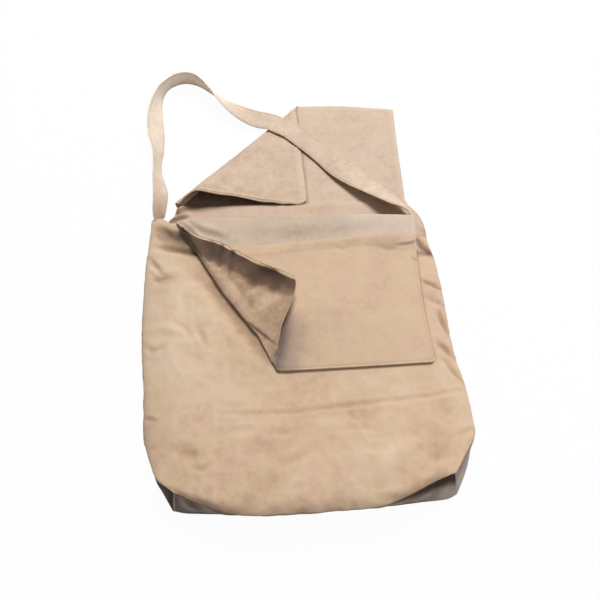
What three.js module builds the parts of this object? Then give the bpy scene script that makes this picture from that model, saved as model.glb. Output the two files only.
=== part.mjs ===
// Corduroy shoulder bag lying on its back on a table: a flat pouch with a boxed base, a cover flap
// laid open beyond the mouth, a pocket flap turned down over the front, and one shoulder strap.
// Millimetres. X runs across the bag, Y from the base to the mouth and Z up from the table.
// The origin is on the underside of the back panel. Plan positions are written as x and s: s is
// the distance from the base side to the mouth side before the bag's slight skew is added.

import * as THREE from "three";

// Cloth and clearances
const PANEL_CLOTH = 1.6;
const STRAP_CLOTH = 2.4;
const SEAM_GAP = 0.3;
const HINGE_GAP = 0.1;
const STRAP_SWING_GAP = 0.7;
const SKEW = 0.054;

// Pouch
const POUCH_HALF_WIDTH = 197;
const FRONT_MOUTH_S = 189.5;
const CORNER_LIFT = 11;
const CORNER_LIFT_START = 0.83;
const CORNER_LIFT_SPAN = 0.1;
const BOX_START_S = -124;
const FRONT_BASE_S = -217.5;
const FRONT_CORNER_S = -184;
const FRONT_CORNER_HALF_WIDTH = 148.5;
const FRONT_BASE_BOW_POWER = 5;
const BOX_BOW_POWER = 0.8;
const BACK_BASE_S = -198;
const BACK_CORNER_HALF_WIDTH = 163;
const MOUTH_HEIGHT = 27.7;
const POCKET_ZONE_HEIGHT = 31;
const POCKET_ZONE_S = -44;
const BASE_HEIGHT = 52;
const BASE_ROLL_DROP = 5;
const BASE_ROLL_SHARE = 0.06;
const SIDE_HEIGHT_MOUTH = 12;
const SIDE_HEIGHT_BOX = 16;
const BASE_CORNER_HEIGHT = 46;
const SIDE_BULGE = 2.5;
const BASE_BULGE = 3;
const SEAM_ALLOWANCE = 9;

// Cover flap
const COVER_AXIS_S = 218;
const COVER_LEFT_X = -172;
const COVER_RIGHT_ROOT_X = 187;
const COVER_RIGHT_TIP_X = 191;
const COVER_RIGHT_TIP_S = 431;
const COVER_FOLD_START = { x: -166, s: 240 };
const COVER_FOLD_END = { x: 34, s: 443 };
const COVER_CORNER_TIP = { x: 30, s: 233 };
const COVER_CORNER_BLUNT = 7;
const COVER_CORNER_LIFT = 12;
const COVER_FOLD_ROLL = 3.5;
const COVER_HEM_WAVES = 5;
const COVER_HEM_WAVE = 1.4;

// Pocket flap
const POCKET_FLAP_LEFT_X = -158;
const POCKET_FLAP_RIGHT_X = 178;
const POCKET_FLAP_RIGHT_LEAN = 0.1;
const POCKET_FLAP_LENGTH = 233;
const POCKET_FLAP_FOLD_END_X = -35;
const POCKET_FLAP_ROLL = 3;
const POCKET_FLAP_DROOP = 4;
const POCKET_FLAP_DROOP_RUN = 60;
const POCKET_CORNER_TIP = { x: 0, s: 84 };
const POCKET_CORNER_BLUNT = 7;
const POCKET_CORNER_BLUNT_X = 17.5;
const POCKET_CORNER_LIFT = 11;
const HEM_RADIUS = 1.7;

// Pocket sewn on the pocket flap
const POCKET_INSET = 6;
const POCKET_MOUTH_LEFT_S = 142;
const POCKET_MOUTH_RISE = 16;
const POCKET_PUFF = 6.5;
const POCKET_HEM_DEPTH = 12;
const POCKET_HEM_CLOTH = 1;
const POCKET_HEM_START = 0.42;
const POCKET_HEM_END = 0.985;

// Shoulder strap
const STRAP_AXIS_S = 206;
const STRAP_STEPS = 72;
const STRAP_WIDTH = 34;
const STRAP_REACH = 300;
const STRAP_TAIL_LENGTH = 34;
const STRAP_TAIL_INSET = 4;
const STRAP_TAIL_WIDTH = 15;
const STRAP_TAIL_BASE_S = 158;

// The strap's centreline from the left seam, round the free loop, over the cover flap and down to
// the right shoulder: the place across as a share of the pouch's half width, the place beyond the
// strap's axis as a share of its reach, the height, the width as a share of the strap's width, and
// the tilt of its width from level in degrees.
const STRAP_STATIONS = [
  { across: -0.9467, ahead: 0, z: 11, width: 0.441, tilt: 0 },
  { across: -0.9371, ahead: 0.1167, z: 15, width: 0.706, tilt: 38 },
  { across: -0.9421, ahead: 0.1933, z: 17, width: 0.882, tilt: 55 },
  { across: -0.966, ahead: 0.3133, z: 18, width: 1, tilt: 66 },
  { across: -0.9675, ahead: 0.45, z: 17, width: 1, tilt: 58 },
  { across: -0.9898, ahead: 0.6133, z: 16, width: 1, tilt: 45 },
  { across: -0.9893, ahead: 0.7667, z: 17, width: 1, tilt: 52 },
  { across: -0.9645, ahead: 0.8733, z: 17, width: 1, tilt: 60 },
  { across: -0.8934, ahead: 0.9667, z: 17, width: 1, tilt: 62 },
  { across: -0.7868, ahead: 1, z: 17, width: 1, tilt: 60 },
  { across: -0.6751, ahead: 0.9733, z: 17, width: 0.971, tilt: 68 },
  { across: -0.5371, ahead: 0.9, z: 17, width: 0.882, tilt: 90 },
  { across: -0.3756, ahead: 0.78, z: 15, width: 0.971, tilt: 122 },
  { across: -0.2269, ahead: 0.7033, z: 14, width: 1, tilt: 148 },
  { across: -0.0812, ahead: 0.65, z: 15.5, width: 1, tilt: 172 },
  { across: 0.1015, ahead: 0.5733, z: 19, width: 1, tilt: 180 },
  { across: 0.269, ahead: 0.4587, z: 10, width: 1, tilt: 180 },
  { across: 0.4041, ahead: 0.34, z: 3.3, width: 1, tilt: 180 },
  { across: 0.5604, ahead: 0.23, z: 8, width: 0.971, tilt: 184 },
  { across: 0.6751, ahead: 0.15, z: 16, width: 0.824, tilt: 200 },
  { across: 0.7614, ahead: 0.0933, z: 20, width: 0.676, tilt: 208 },
  { across: 0.8376, ahead: 0.0467, z: 21, width: 0.5, tilt: 196 },
  { across: 0.8883, ahead: 0.0217, z: 21, width: 0.412, tilt: 186 },
  { across: 0.9036, ahead: 0, z: 21, width: 0.382, tilt: 180 },
];

// Faceting
const PROBE = 0.004;
const EDGE_POWER = 4;
const HEM_SIDES = 8;

const TAN = 0xd7bd9f;
const TAN_LIGHT = 0xdac6ac;
const BASE_BROWN = 0x8a7a6e;

function cloth(color) {
  return new THREE.MeshStandardMaterial({ color, roughness: 0.95, metalness: 0 });
}

function laid(x, s, z) {
  return new THREE.Vector3(x, s - SKEW * x, z);
}

function mix(from, to, share) {
  return from + (to - from) * share;
}

function eased(share) {
  const held = Math.min(Math.max(share, 0), 1);
  return held * held * (3 - 2 * held);
}

function stations(from, to, steps) {
  return Array.from({ length: steps + 1 }, (_, index) => mix(from, to, index / steps));
}

// A closed solid of even thickness under a face given as a function of two parameters. The face
// looks along the cross product of its first and second direction.
function clothPatch(face, across, along, thickness) {
  const width = across.length;
  const height = along.length;
  const hold = (value, list) => {
    const ends = [list[0], list[list.length - 1]];
    return Math.min(Math.max(value, Math.min(...ends)), Math.max(...ends));
  };
  const reach = (list) => PROBE * (list[list.length - 1] - list[0]);
  const outer = [];
  const inner = [];
  for (const v of along) {
    for (const u of across) {
      const point = face(u, v);
      const du = face(hold(u + reach(across), across), v).sub(face(hold(u - reach(across), across), v));
      const dv = face(u, hold(v + reach(along), along)).sub(face(u, hold(v - reach(along), along)));
      const normal = du.cross(dv).normalize();
      outer.push(point);
      inner.push(point.clone().addScaledVector(normal, -thickness));
    }
  }
  const positions = [...outer, ...inner].flatMap((point) => point.toArray());
  const under = width * height;
  const faces = [];
  for (let row = 0; row < height - 1; row += 1) {
    for (let column = 0; column < width - 1; column += 1) {
      const a = row * width + column;
      const b = a + 1;
      const c = b + width;
      const d = a + width;
      faces.push(a, b, c, a, c, d);
      faces.push(under + a, under + c, under + b, under + a, under + d, under + c);
    }
  }
  const rim = patchRim(width, height);
  rim.forEach((from, index) => {
    const to = rim[(index + 1) % rim.length];
    faces.push(under + from, under + to, to, under + from, to, from);
  });
  const geometry = new THREE.BufferGeometry();
  geometry.setAttribute("position", new THREE.Float32BufferAttribute(positions, 3));
  geometry.setIndex(faces);
  geometry.computeVertexNormals();
  return geometry;
}

// The vertices round a patch, counterclockwise as its face is seen.
function patchRim(width, height) {
  const rim = [];
  for (let column = 0; column < width - 1; column += 1) rim.push(column);
  for (let row = 0; row < height - 1; row += 1) rim.push(row * width + width - 1);
  for (let column = width - 1; column > 0; column -= 1) rim.push((height - 1) * width + column);
  for (let row = height - 1; row > 0; row -= 1) rim.push(row * width);
  return rim;
}

// A flat piece of cloth cut to an outline of plan points, lying from a height upwards.
function flatCloth(outline, bottom, thickness) {
  const shape = new THREE.Shape(outline.map((point) => {
    const spot = laid(point.x, point.s, 0);
    return new THREE.Vector2(spot.x, spot.y);
  }));
  const geometry = new THREE.ExtrudeGeometry(shape, { depth: thickness, bevelEnabled: false });
  geometry.translate(0, 0, bottom);
  return geometry;
}

// A rolled hem: a round bead along a route of points.
function hemBead(route, radius, steps) {
  const section = new THREE.Shape();
  for (let side = 0; side < HEM_SIDES; side += 1) {
    const angle = (2 * Math.PI * side) / HEM_SIDES;
    const spot = [radius * Math.cos(angle), radius * Math.sin(angle)];
    if (side === 0) section.moveTo(...spot);
    else section.lineTo(...spot);
  }
  section.closePath();
  const path = new THREE.CatmullRomCurve3(route);
  return new THREE.ExtrudeGeometry(section, { steps, bevelEnabled: false, extrudePath: path });
}

// Front panel: a sheet over the pouch with cut corners at the base. Its first parameter runs from
// the left edge (-1) to the right (1), the second from the base (0) to the mouth (1).
const SIDE_TOP_S = FRONT_MOUTH_S + CORNER_LIFT;
const BOX_SHARE = (BOX_START_S - FRONT_CORNER_S) / (SIDE_TOP_S - FRONT_CORNER_S);
const FRONT_ACROSS = [-1, -0.985, -0.95, -0.9, ...stations(-0.8, 0.8, 10), 0.9, 0.95, 0.985, 1];
const FRONT_CORNER_ROWS = [0, 0.09, 0.18, 0.36, 0.6, 0.8, 1].map((share) => share * BOX_SHARE);

function frontHalfWidth(v) {
  const share = Math.min(v / BOX_SHARE, 1);
  return mix(FRONT_CORNER_HALF_WIDTH, POUCH_HALF_WIDTH, share ** BOX_BOW_POWER);
}

function frontS(u, v) {
  const base = mix(FRONT_BASE_S, FRONT_CORNER_S, Math.abs(u) ** FRONT_BASE_BOW_POWER);
  const mouth = FRONT_MOUTH_S + CORNER_LIFT * eased((Math.abs(u) - CORNER_LIFT_START) / CORNER_LIFT_SPAN);
  return mix(base, mouth, v);
}

function ridgeHeight(s) {
  if (s > POCKET_ZONE_S) {
    return mix(POCKET_ZONE_HEIGHT, MOUTH_HEIGHT, (s - POCKET_ZONE_S) / (FRONT_MOUTH_S - POCKET_ZONE_S));
  }
  return mix(POCKET_ZONE_HEIGHT, BASE_HEIGHT, eased((POCKET_ZONE_S - s) / (POCKET_ZONE_S - FRONT_BASE_S)));
}

function sideHeight(v) {
  const cut = Math.max(1 - v / BOX_SHARE, 0);
  const seam = mix(SIDE_HEIGHT_BOX, SIDE_HEIGHT_MOUTH, Math.max(v - BOX_SHARE, 0) / (1 - BOX_SHARE));
  return seam + (BASE_CORNER_HEIGHT - SIDE_HEIGHT_BOX) * eased(cut);
}

function crown(u) {
  return Math.sqrt(Math.max(1 - Math.abs(u) ** EDGE_POWER, 0));
}

function frontFace(u, v) {
  const s = frontS(u, v);
  const roll = BASE_ROLL_DROP * Math.max(1 - v / BASE_ROLL_SHARE, 0) ** 2;
  const ridge = Math.min(ridgeHeight(s), ridgeHeight(FRONT_BASE_S)) - roll;
  const height = mix(sideHeight(v), ridge, crown(u));
  return laid(u * frontHalfWidth(v), s, height);
}

function frontPanel() {
  const along = [...FRONT_CORNER_ROWS, ...stations(BOX_SHARE, 1, 10).slice(1)];
  return clothPatch(frontFace, FRONT_ACROSS, along, PANEL_CLOTH);
}

// Back panel: flat on the table, with the box corners cut off and the mouth edge by the flap.
function backPanel() {
  const mouth = COVER_AXIS_S - PANEL_CLOTH / 2 - HINGE_GAP;
  return flatCloth([
    { x: -BACK_CORNER_HALF_WIDTH, s: BACK_BASE_S },
    { x: BACK_CORNER_HALF_WIDTH, s: BACK_BASE_S },
    { x: POUCH_HALF_WIDTH, s: BOX_START_S },
    { x: POUCH_HALF_WIDTH, s: SIDE_TOP_S },
    { x: COVER_RIGHT_ROOT_X, s: mouth },
    { x: COVER_LEFT_X, s: mouth },
    { x: -POUCH_HALF_WIDTH, s: SIDE_TOP_S },
    { x: -POUCH_HALF_WIDTH, s: BOX_START_S },
  ], 0, PANEL_CLOTH);
}

// A standing wall between a lower and an upper edge, each a function of one parameter that runs
// counterclockwise round the pouch, so the wall looks outwards.
function wall(lower, upper, bulge, turns, levels) {
  const first = turns[0];
  const last = turns[turns.length - 1];
  const along = lower(last).sub(lower(first));
  const outward = new THREE.Vector3(along.y, -along.x, 0).normalize();
  const face = (u, v) => lower(u).lerp(upper(u), v).addScaledVector(outward, bulge * Math.sin(Math.PI * v));
  return clothPatch(face, turns, stations(0, 1, levels), PANEL_CLOTH);
}

function lowered(point, drop) {
  point.z -= drop;
  return point;
}

const WALL_FOOT = PANEL_CLOTH + SEAM_GAP;
const UNDER_FRONT = PANEL_CLOTH + 2 * SEAM_GAP;
const MITRE = PANEL_CLOTH + SEAM_GAP;

function basePanel() {
  const reach = 1 - MITRE / FRONT_CORNER_HALF_WIDTH;
  const lower = (u) => laid(u * BACK_CORNER_HALF_WIDTH, BACK_BASE_S, WALL_FOOT);
  const upper = (u) => lowered(frontFace(u, 0), UNDER_FRONT);
  const turns = FRONT_ACROSS.map((u) => Math.max(Math.min(u, reach), -reach));
  return wall(lower, upper, BASE_BULGE, turns, 4);
}

// The stations of a side wall, in the order that keeps its face outwards.
function sideTurns(side, rows) {
  return side > 0 ? rows : [...rows].reverse();
}

function baseCorner(side) {
  const lower = (v) => {
    const share = v / BOX_SHARE;
    const x = mix(BACK_CORNER_HALF_WIDTH, POUCH_HALF_WIDTH, share);
    return laid(side * x, mix(BACK_BASE_S, BOX_START_S, share), WALL_FOOT + SEAM_GAP);
  };
  const upper = (v) => lowered(frontFace(side, v), UNDER_FRONT);
  const end = BOX_SHARE - MITRE / (SIDE_TOP_S - FRONT_CORNER_S);
  const rows = FRONT_CORNER_ROWS.map((v) => Math.min(v, end));
  return wall(lower, upper, SIDE_BULGE, sideTurns(side, rows), 3);
}

function sideSeam(side) {
  const lower = (v) => {
    const share = (v - BOX_SHARE) / (1 - BOX_SHARE);
    return laid(side * POUCH_HALF_WIDTH, mix(BOX_START_S, SIDE_TOP_S, share), WALL_FOOT);
  };
  const upper = (v) => lowered(frontFace(side, v), 2 * SEAM_GAP);
  return wall(lower, upper, SIDE_BULGE, sideTurns(side, stations(BOX_SHARE, 1, 10)), 3);
}

// The seam allowance inside the bag along the foot of the base.
function baseSeamAllowance() {
  const half = BACK_CORNER_HALF_WIDTH - 2 * SEAM_ALLOWANCE;
  const s = BACK_BASE_S + PANEL_CLOTH + SEAM_ALLOWANCE;
  const bottom = PANEL_CLOTH + SEAM_GAP;
  return flatCloth([
    { x: -half, s: s - SEAM_ALLOWANCE + SEAM_GAP },
    { x: half, s: s - SEAM_ALLOWANCE + SEAM_GAP },
    { x: half, s },
    { x: -half, s },
  ], bottom, PANEL_CLOTH);
}

// Cover flap: flat beyond the mouth, its upper left corner folded over towards the middle.
function coverFlap() {
  return flatCloth([
    { x: COVER_LEFT_X, s: COVER_AXIS_S },
    { x: COVER_RIGHT_ROOT_X, s: COVER_AXIS_S },
    { x: COVER_RIGHT_TIP_X, s: COVER_RIGHT_TIP_S },
    COVER_FOLD_END,
    COVER_FOLD_START,
  ], 0, PANEL_CLOTH);
}

// The folded corner: from the fold line (first parameter 0) to its free edge (1), and from the
// hem (second parameter 0) to the blunt end at the top (1).
function coverCornerHeight(u, v) {
  const seat = PANEL_CLOTH + SEAM_GAP + PANEL_CLOTH;
  const roll = COVER_FOLD_ROLL * (1 - (1 - u) ** 6);
  return seat + roll + COVER_CORNER_LIFT * u ** 0.8 * (1 - v) ** 1.2;
}

function coverCornerFace(u, v) {
  const inset = SEAM_GAP / COVER_CORNER_BLUNT;
  const fold = {
    x: mix(COVER_FOLD_START.x, COVER_FOLD_END.x, mix(0.01, 0.985, v)) + inset,
    s: mix(COVER_FOLD_START.s, COVER_FOLD_END.s, mix(0.01, 0.985, v)),
  };
  const free = {
    x: COVER_CORNER_TIP.x,
    s: mix(COVER_CORNER_TIP.s, COVER_FOLD_END.s - COVER_CORNER_BLUNT, v),
  };
  return laid(mix(fold.x, free.x, u), mix(fold.s, free.s, u), coverCornerHeight(u, v));
}

function coverCorner() {
  const across = [0, 0.03, 0.07, 0.14, ...stations(0.25, 1, 7)];
  return clothPatch(coverCornerFace, across, stations(0, 1, 9), PANEL_CLOTH);
}

function coverHem() {
  const beads = 24;
  const route = stations(0.04, 0.985, beads).map((u) => {
    const spot = coverCornerFace(u, 0);
    const wave = COVER_HEM_WAVE * Math.sin(2 * Math.PI * COVER_HEM_WAVES * u);
    spot.y -= HEM_RADIUS + SEAM_GAP;
    spot.z += wave - PANEL_CLOTH / 2;
    return spot;
  });
  return hemBead(route, HEM_RADIUS, 2 * beads);
}

// Pocket flap: it rolls over the mouth edge about the flap's axis, then lies over the front. Its
// second parameter is an angle share on the roll (-1 to 0) and a length share beyond it (0 to 1).
const POCKET_FLAP_AXIS_Z = MOUTH_HEIGHT + SEAM_GAP + POCKET_FLAP_ROLL;

function pocketFlapRightX(run) {
  return POCKET_FLAP_RIGHT_X - POCKET_FLAP_RIGHT_LEAN * run;
}

function pocketFlapLeftX(run) {
  return mix(POCKET_FLAP_LEFT_X, POCKET_FLAP_FOLD_END_X, run / POCKET_FLAP_LENGTH);
}

function pocketFlapTop(x, run) {
  const s = FRONT_MOUTH_S - run;
  const hover = 2 * POCKET_FLAP_ROLL + SEAM_GAP;
  const side = Math.abs(x / POCKET_FLAP_RIGHT_X) ** EDGE_POWER;
  const droop = POCKET_FLAP_DROOP * side * eased(run / POCKET_FLAP_DROOP_RUN);
  return ridgeHeight(s) + hover - droop;
}

function pocketFlapFace(u, v) {
  if (v < 0) {
    const angle = Math.PI * (0.5 + v);
    const x = mix(pocketFlapRightX(0), pocketFlapLeftX(0), u);
    const s = FRONT_MOUTH_S + POCKET_FLAP_ROLL * Math.cos(angle);
    return laid(x, s, POCKET_FLAP_AXIS_Z + POCKET_FLAP_ROLL * Math.sin(angle));
  }
  const run = POCKET_FLAP_LENGTH * v;
  const x = mix(pocketFlapRightX(run), pocketFlapLeftX(run), u);
  return laid(x, FRONT_MOUTH_S - run, pocketFlapTop(x, run));
}

function pocketFlap() {
  const along = [...stations(-1, 0, 6), 0.02, ...stations(0.08, 1, 10)];
  return clothPatch(pocketFlapFace, stations(0, 1, 12), along, PANEL_CLOTH);
}

// The folded corner of the pocket flap: from the fold line (first parameter 0) to its hem (1), and
// from the flap's lower edge (second parameter 0) to the blunt end at the mouth (1).
function pocketCornerSpot(u, v) {
  const foldRun = POCKET_FLAP_LENGTH * mix(1, 0.035, v);
  const fold = { x: pocketFlapLeftX(foldRun) + SEAM_GAP, s: FRONT_MOUTH_S - foldRun };
  const blunt = {
    x: POCKET_FLAP_LEFT_X + POCKET_CORNER_BLUNT_X,
    s: FRONT_MOUTH_S - POCKET_CORNER_BLUNT,
  };
  const hem = { x: mix(POCKET_CORNER_TIP.x, blunt.x, v), s: mix(POCKET_CORNER_TIP.s, blunt.s, v) };
  return { x: mix(fold.x, hem.x, u), s: mix(fold.s, hem.s, u) };
}

function pocketCornerFace(u, v) {
  const spot = pocketCornerSpot(u, v);
  const seat = SEAM_GAP + PANEL_CLOTH;
  const roll = POCKET_CORNER_LIFT * (1 - (1 - u) ** 5) * (1 - 0.45 * v);
  const height = pocketFlapTop(spot.x, FRONT_MOUTH_S - spot.s) + seat + roll;
  return laid(spot.x, spot.s, height);
}

function pocketCorner() {
  const across = [0, 0.03, 0.07, 0.14, ...stations(0.25, 1, 6)];
  return clothPatch(pocketCornerFace, across, stations(0, 1, 9), PANEL_CLOTH);
}

function pocketCornerHem() {
  const route = stations(0.01, 0.98, 12).map((v) => {
    const spot = pocketCornerFace(1, v);
    spot.x += 0.55 * (HEM_RADIUS + SEAM_GAP);
    spot.y += 0.85 * (HEM_RADIUS + SEAM_GAP);
    spot.z -= PANEL_CLOTH / 2;
    return spot;
  });
  return hemBead(route, HEM_RADIUS, 24);
}

// Pocket: a patch sewn to the flap at its sides and lower edge and puffed up between them.
function pocketMouthS(x) {
  const share = (x - POCKET_FLAP_FOLD_END_X) / (POCKET_FLAP_RIGHT_X - POCKET_FLAP_FOLD_END_X);
  return POCKET_MOUTH_LEFT_S + POCKET_MOUTH_RISE * Math.max(share, 0);
}

function pocketSpot(u, v) {
  const lowRun = POCKET_FLAP_LENGTH - SEAM_GAP;
  const lowS = FRONT_MOUTH_S - lowRun;
  const left = (run) => pocketFlapLeftX(run) + POCKET_INSET;
  const right = (run) => pocketFlapRightX(run) - SEAM_GAP;
  const topRun = FRONT_MOUTH_S - POCKET_MOUTH_LEFT_S;
  const run = mix(lowRun, topRun, v);
  const x = mix(left(run), right(run), u);
  return { x, s: mix(lowS, pocketMouthS(x), v) };
}

function pocketFace(u, v) {
  const spot = pocketSpot(u, v);
  const bulge = Math.max(Math.sin(Math.PI * u), 0) ** 0.5 * Math.sin((Math.PI / 2) * Math.min(3 * v, 1));
  const seat = SEAM_GAP + PANEL_CLOTH;
  const height = pocketFlapTop(spot.x, FRONT_MOUTH_S - spot.s) + seat + POCKET_PUFF * bulge;
  return laid(spot.x, spot.s, height);
}

function pocketFront() {
  const across = [0, 0.04, 0.1, ...stations(0.2, 0.8, 6), 0.9, 0.96, 1];
  return clothPatch(pocketFace, across, stations(0, 1, 9), PANEL_CLOTH);
}

function pocketHem() {
  const topLength = POCKET_MOUTH_LEFT_S + POCKET_FLAP_LENGTH - FRONT_MOUTH_S;
  const depth = POCKET_HEM_DEPTH / topLength;
  const face = (u, v) => {
    const spot = pocketFace(mix(POCKET_HEM_START, POCKET_HEM_END, u), mix(1 - depth, 1, v));
    spot.z += 2 * SEAM_GAP + POCKET_HEM_CLOTH;
    return spot;
  };
  return clothPatch(face, stations(0, 1, 9), stations(0, 1, 1), POCKET_HEM_CLOTH);
}

// Strap: a flat band swept along its stations, with a half twist in the free loop.
function strapBand() {
  const place = ({ across, ahead, z }) => (
    laid(across * POUCH_HALF_WIDTH, STRAP_AXIS_S + ahead * STRAP_REACH, z)
  );
  const route = new THREE.CatmullRomCurve3(STRAP_STATIONS.map(place));
  const turn = new THREE.CatmullRomCurve3(
    STRAP_STATIONS.map(({ width, tilt }) => new THREE.Vector3(width * STRAP_WIDTH, tilt, 0)),
  );
  const face = (u, v) => {
    const centre = route.getPoint(v);
    const ahead = route.getTangent(v);
    const set = turn.getPoint(v);
    const level = new THREE.Vector3(ahead.y, -ahead.x, 0).normalize();
    const tilt = THREE.MathUtils.degToRad(set.y);
    const raised = new THREE.Vector3().crossVectors(level, ahead).normalize();
    const side = level.multiplyScalar(Math.cos(tilt)).addScaledVector(raised, Math.sin(tilt));
    const facing = new THREE.Vector3().crossVectors(side, ahead).normalize();
    centre.addScaledVector(side, (u - 0.5) * set.x);
    return centre.addScaledVector(facing, STRAP_CLOTH / 2);
  };
  return clothPatch(face, stations(0, 1, 2), stations(0, 1, STRAP_STEPS), STRAP_CLOTH);
}

// The left end of the strap, sewn to the inside of the side seam.
function strapTailLeft() {
  const outside = -POUCH_HALF_WIDTH + PANEL_CLOTH + SEAM_GAP;
  const top = STRAP_AXIS_S - STRAP_CLOTH / 2 - STRAP_SWING_GAP;
  const face = (u, v) => laid(
    outside + STRAP_CLOTH,
    mix(top - STRAP_TAIL_LENGTH, top, u),
    mix(WALL_FOOT + SEAM_GAP, SIDE_HEIGHT_MOUTH - SEAM_GAP, v),
  );
  return clothPatch(face, stations(0, 1, 4), stations(0, 1, 1), STRAP_CLOTH);
}

// The right end of the strap, wrapped over the shoulder of the front panel and sewn down.
function strapTailRight() {
  const lastS = STRAP_AXIS_S - STRAP_CLOTH / 2 - STRAP_SWING_GAP;
  const outerX = POUCH_HALF_WIDTH - STRAP_TAIL_INSET;
  const face = (u, v) => {
    const x = mix(outerX - STRAP_TAIL_WIDTH, outerX, u);
    const s = mix(STRAP_TAIL_BASE_S, lastS, v);
    const share = x / POUCH_HALF_WIDTH;
    const span = frontS(share, 1) - frontS(share, 0);
    const row = Math.min((s - frontS(share, 0)) / span, 1);
    const shoulder = frontFace(share, row).z;
    return laid(x, s, shoulder + SEAM_GAP + STRAP_CLOTH);
  };
  return clothPatch(face, stations(0, 1, 3), stations(0, 1, 6), STRAP_CLOTH);
}

const bag = new THREE.Group();

function add(name, geometry, color) {
  const mesh = new THREE.Mesh(geometry, cloth(color));
  mesh.name = name;
  bag.add(mesh);
}

add("back_panel", backPanel(), TAN);
add("front_panel", frontPanel(), TAN);
add("base_panel", basePanel(), BASE_BROWN);
add("base_corner_left", baseCorner(-1), BASE_BROWN);
add("base_corner_right", baseCorner(1), BASE_BROWN);
add("side_seam_left", sideSeam(-1), TAN);
add("side_seam_right", sideSeam(1), TAN);
add("base_seam_allowance", baseSeamAllowance(), BASE_BROWN);
add("cover_flap", coverFlap(), TAN);
add("cover_flap_folded_corner", coverCorner(), TAN);
add("cover_flap_corner_hem", coverHem(), TAN_LIGHT);
add("pocket_flap", pocketFlap(), TAN_LIGHT);
add("pocket_flap_folded_corner", pocketCorner(), TAN);
add("pocket_flap_corner_hem", pocketCornerHem(), TAN_LIGHT);
add("pocket_front", pocketFront(), TAN);
add("pocket_mouth_hem", pocketHem(), TAN);
add("shoulder_strap", strapBand(), TAN_LIGHT);
add("strap_tail_left", strapTailLeft(), TAN_LIGHT);
add("strap_tail_right", strapTailRight(), TAN_LIGHT);

export default bag;
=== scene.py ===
"""Looks of a soft corduroy shoulder bag that lies on its back on a pale floor.

The pouch is nearly flat with a boxed base. A cover flap lies open beyond the mouth with one corner
folded over, a flap with a pocket is turned down over the front with its own corner folded up, and a
strap runs round a free loop and over the cover. Lengths are in millimetres until a mesh is made.
Plan places are x and s, where s runs from the base to the mouth before the bag's skew is added.
"""

import logging
import math
from dataclasses import dataclass, field
from enum import Enum

import bmesh
import bpy
import numpy as np
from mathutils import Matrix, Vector


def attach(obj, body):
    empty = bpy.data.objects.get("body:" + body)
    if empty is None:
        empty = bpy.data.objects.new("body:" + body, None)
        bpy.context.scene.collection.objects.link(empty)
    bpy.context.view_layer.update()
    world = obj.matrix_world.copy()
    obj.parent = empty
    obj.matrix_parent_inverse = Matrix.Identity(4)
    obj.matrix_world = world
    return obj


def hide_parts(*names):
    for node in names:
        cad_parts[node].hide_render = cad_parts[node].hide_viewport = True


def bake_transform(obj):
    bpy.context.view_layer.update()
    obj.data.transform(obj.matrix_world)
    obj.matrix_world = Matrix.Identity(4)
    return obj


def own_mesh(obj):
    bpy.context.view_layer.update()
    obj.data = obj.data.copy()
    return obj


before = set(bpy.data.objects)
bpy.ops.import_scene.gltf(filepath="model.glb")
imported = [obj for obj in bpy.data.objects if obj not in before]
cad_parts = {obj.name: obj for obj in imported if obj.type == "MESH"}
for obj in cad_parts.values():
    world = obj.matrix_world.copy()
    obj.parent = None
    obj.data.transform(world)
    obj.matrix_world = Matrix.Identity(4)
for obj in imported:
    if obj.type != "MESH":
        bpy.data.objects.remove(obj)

Array = np.ndarray
Colour = tuple[float, float, float, float]
Stops = list[tuple[float, float]]
log = logging.getLogger("bag")
MM = 0.001
SKEW = 0.054
LATTICE = 128
STITCH_PLACES = 160
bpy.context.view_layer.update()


# Shapes worked out with arrays


def mix(start: Array, end: Array, share: Array) -> Array:
    """Straight mix of two values: start + (end - start) * share."""
    return start + (end - start) * share


def eased(share: Array) -> Array:
    """Share held to 0..1 and eased at both ends: 3 t^2 - 2 t^3."""
    held = np.clip(share, 0.0, 1.0)
    return held * held * (3.0 - 2.0 * held)


def past(place: Array, start: float, span: float) -> Array:
    """Eased share of a span that a place has gone beyond its start."""
    return eased((place - start) / span)


def short(place: Array, end: float, span: float) -> Array:
    """Eased share of a span that a place stays short of its end."""
    return eased((end - place) / span)


def bell(distance: Array, width: Array) -> Array:
    """Bell curve exp(-(distance / width)^2)."""
    return np.exp(-((distance / width) ** 2))


def crown(u: Array, power: float) -> Array:
    """Rounded profile sqrt(1 - |u|^power), 1 in the middle and 0 at both ends."""
    return np.sqrt(np.maximum(1 - np.abs(u) ** power, 0))


def laid(x: Array, s: Array, z: Array) -> Array:
    """Points from plan places; the bag lies a little askew, so y = s - skew * x."""
    x, s, z = np.broadcast_arrays(x, s, z)
    return np.stack([x, s - SKEW * x, z], axis=-1).astype(float)


def unit(vectors: Array) -> Array:
    """Vectors divided by their own lengths."""
    return vectors / np.maximum(np.linalg.norm(vectors, axis=-1, keepdims=True), 1e-9)


def walked(points: Array) -> Array:
    """Distance walked along a row of points to reach each of them."""
    return np.concatenate([[0.0], np.cumsum(np.linalg.norm(np.diff(points, axis=0), axis=1))])


def drift(x: Array, y: Array, cell: float, seed: int) -> Array:
    """Smooth random relief from -1 to 1.

    Random heights stand on a square lattice, and each point takes an eased mix of its four
    neighbours.

    Args:
        x: first coordinate.
        y: second coordinate.
        cell: distance between lattice points.
        seed: picks the lattice.

    Returns:
        Relief at each pair of x and y.
    """
    heights = np.random.default_rng(seed).uniform(-1.0, 1.0, (LATTICE, LATTICE))
    column, row = np.floor(x / cell).astype(int), np.floor(y / cell).astype(int)
    right, up = eased(x / cell - column), eased(y / cell - row)
    left, after = column % LATTICE, (column + 1) % LATTICE
    below, above = row % LATTICE, (row + 1) % LATTICE
    low = mix(heights[below, left], heights[below, after], right)
    return mix(low, mix(heights[above, left], heights[above, after], right), up)


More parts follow.
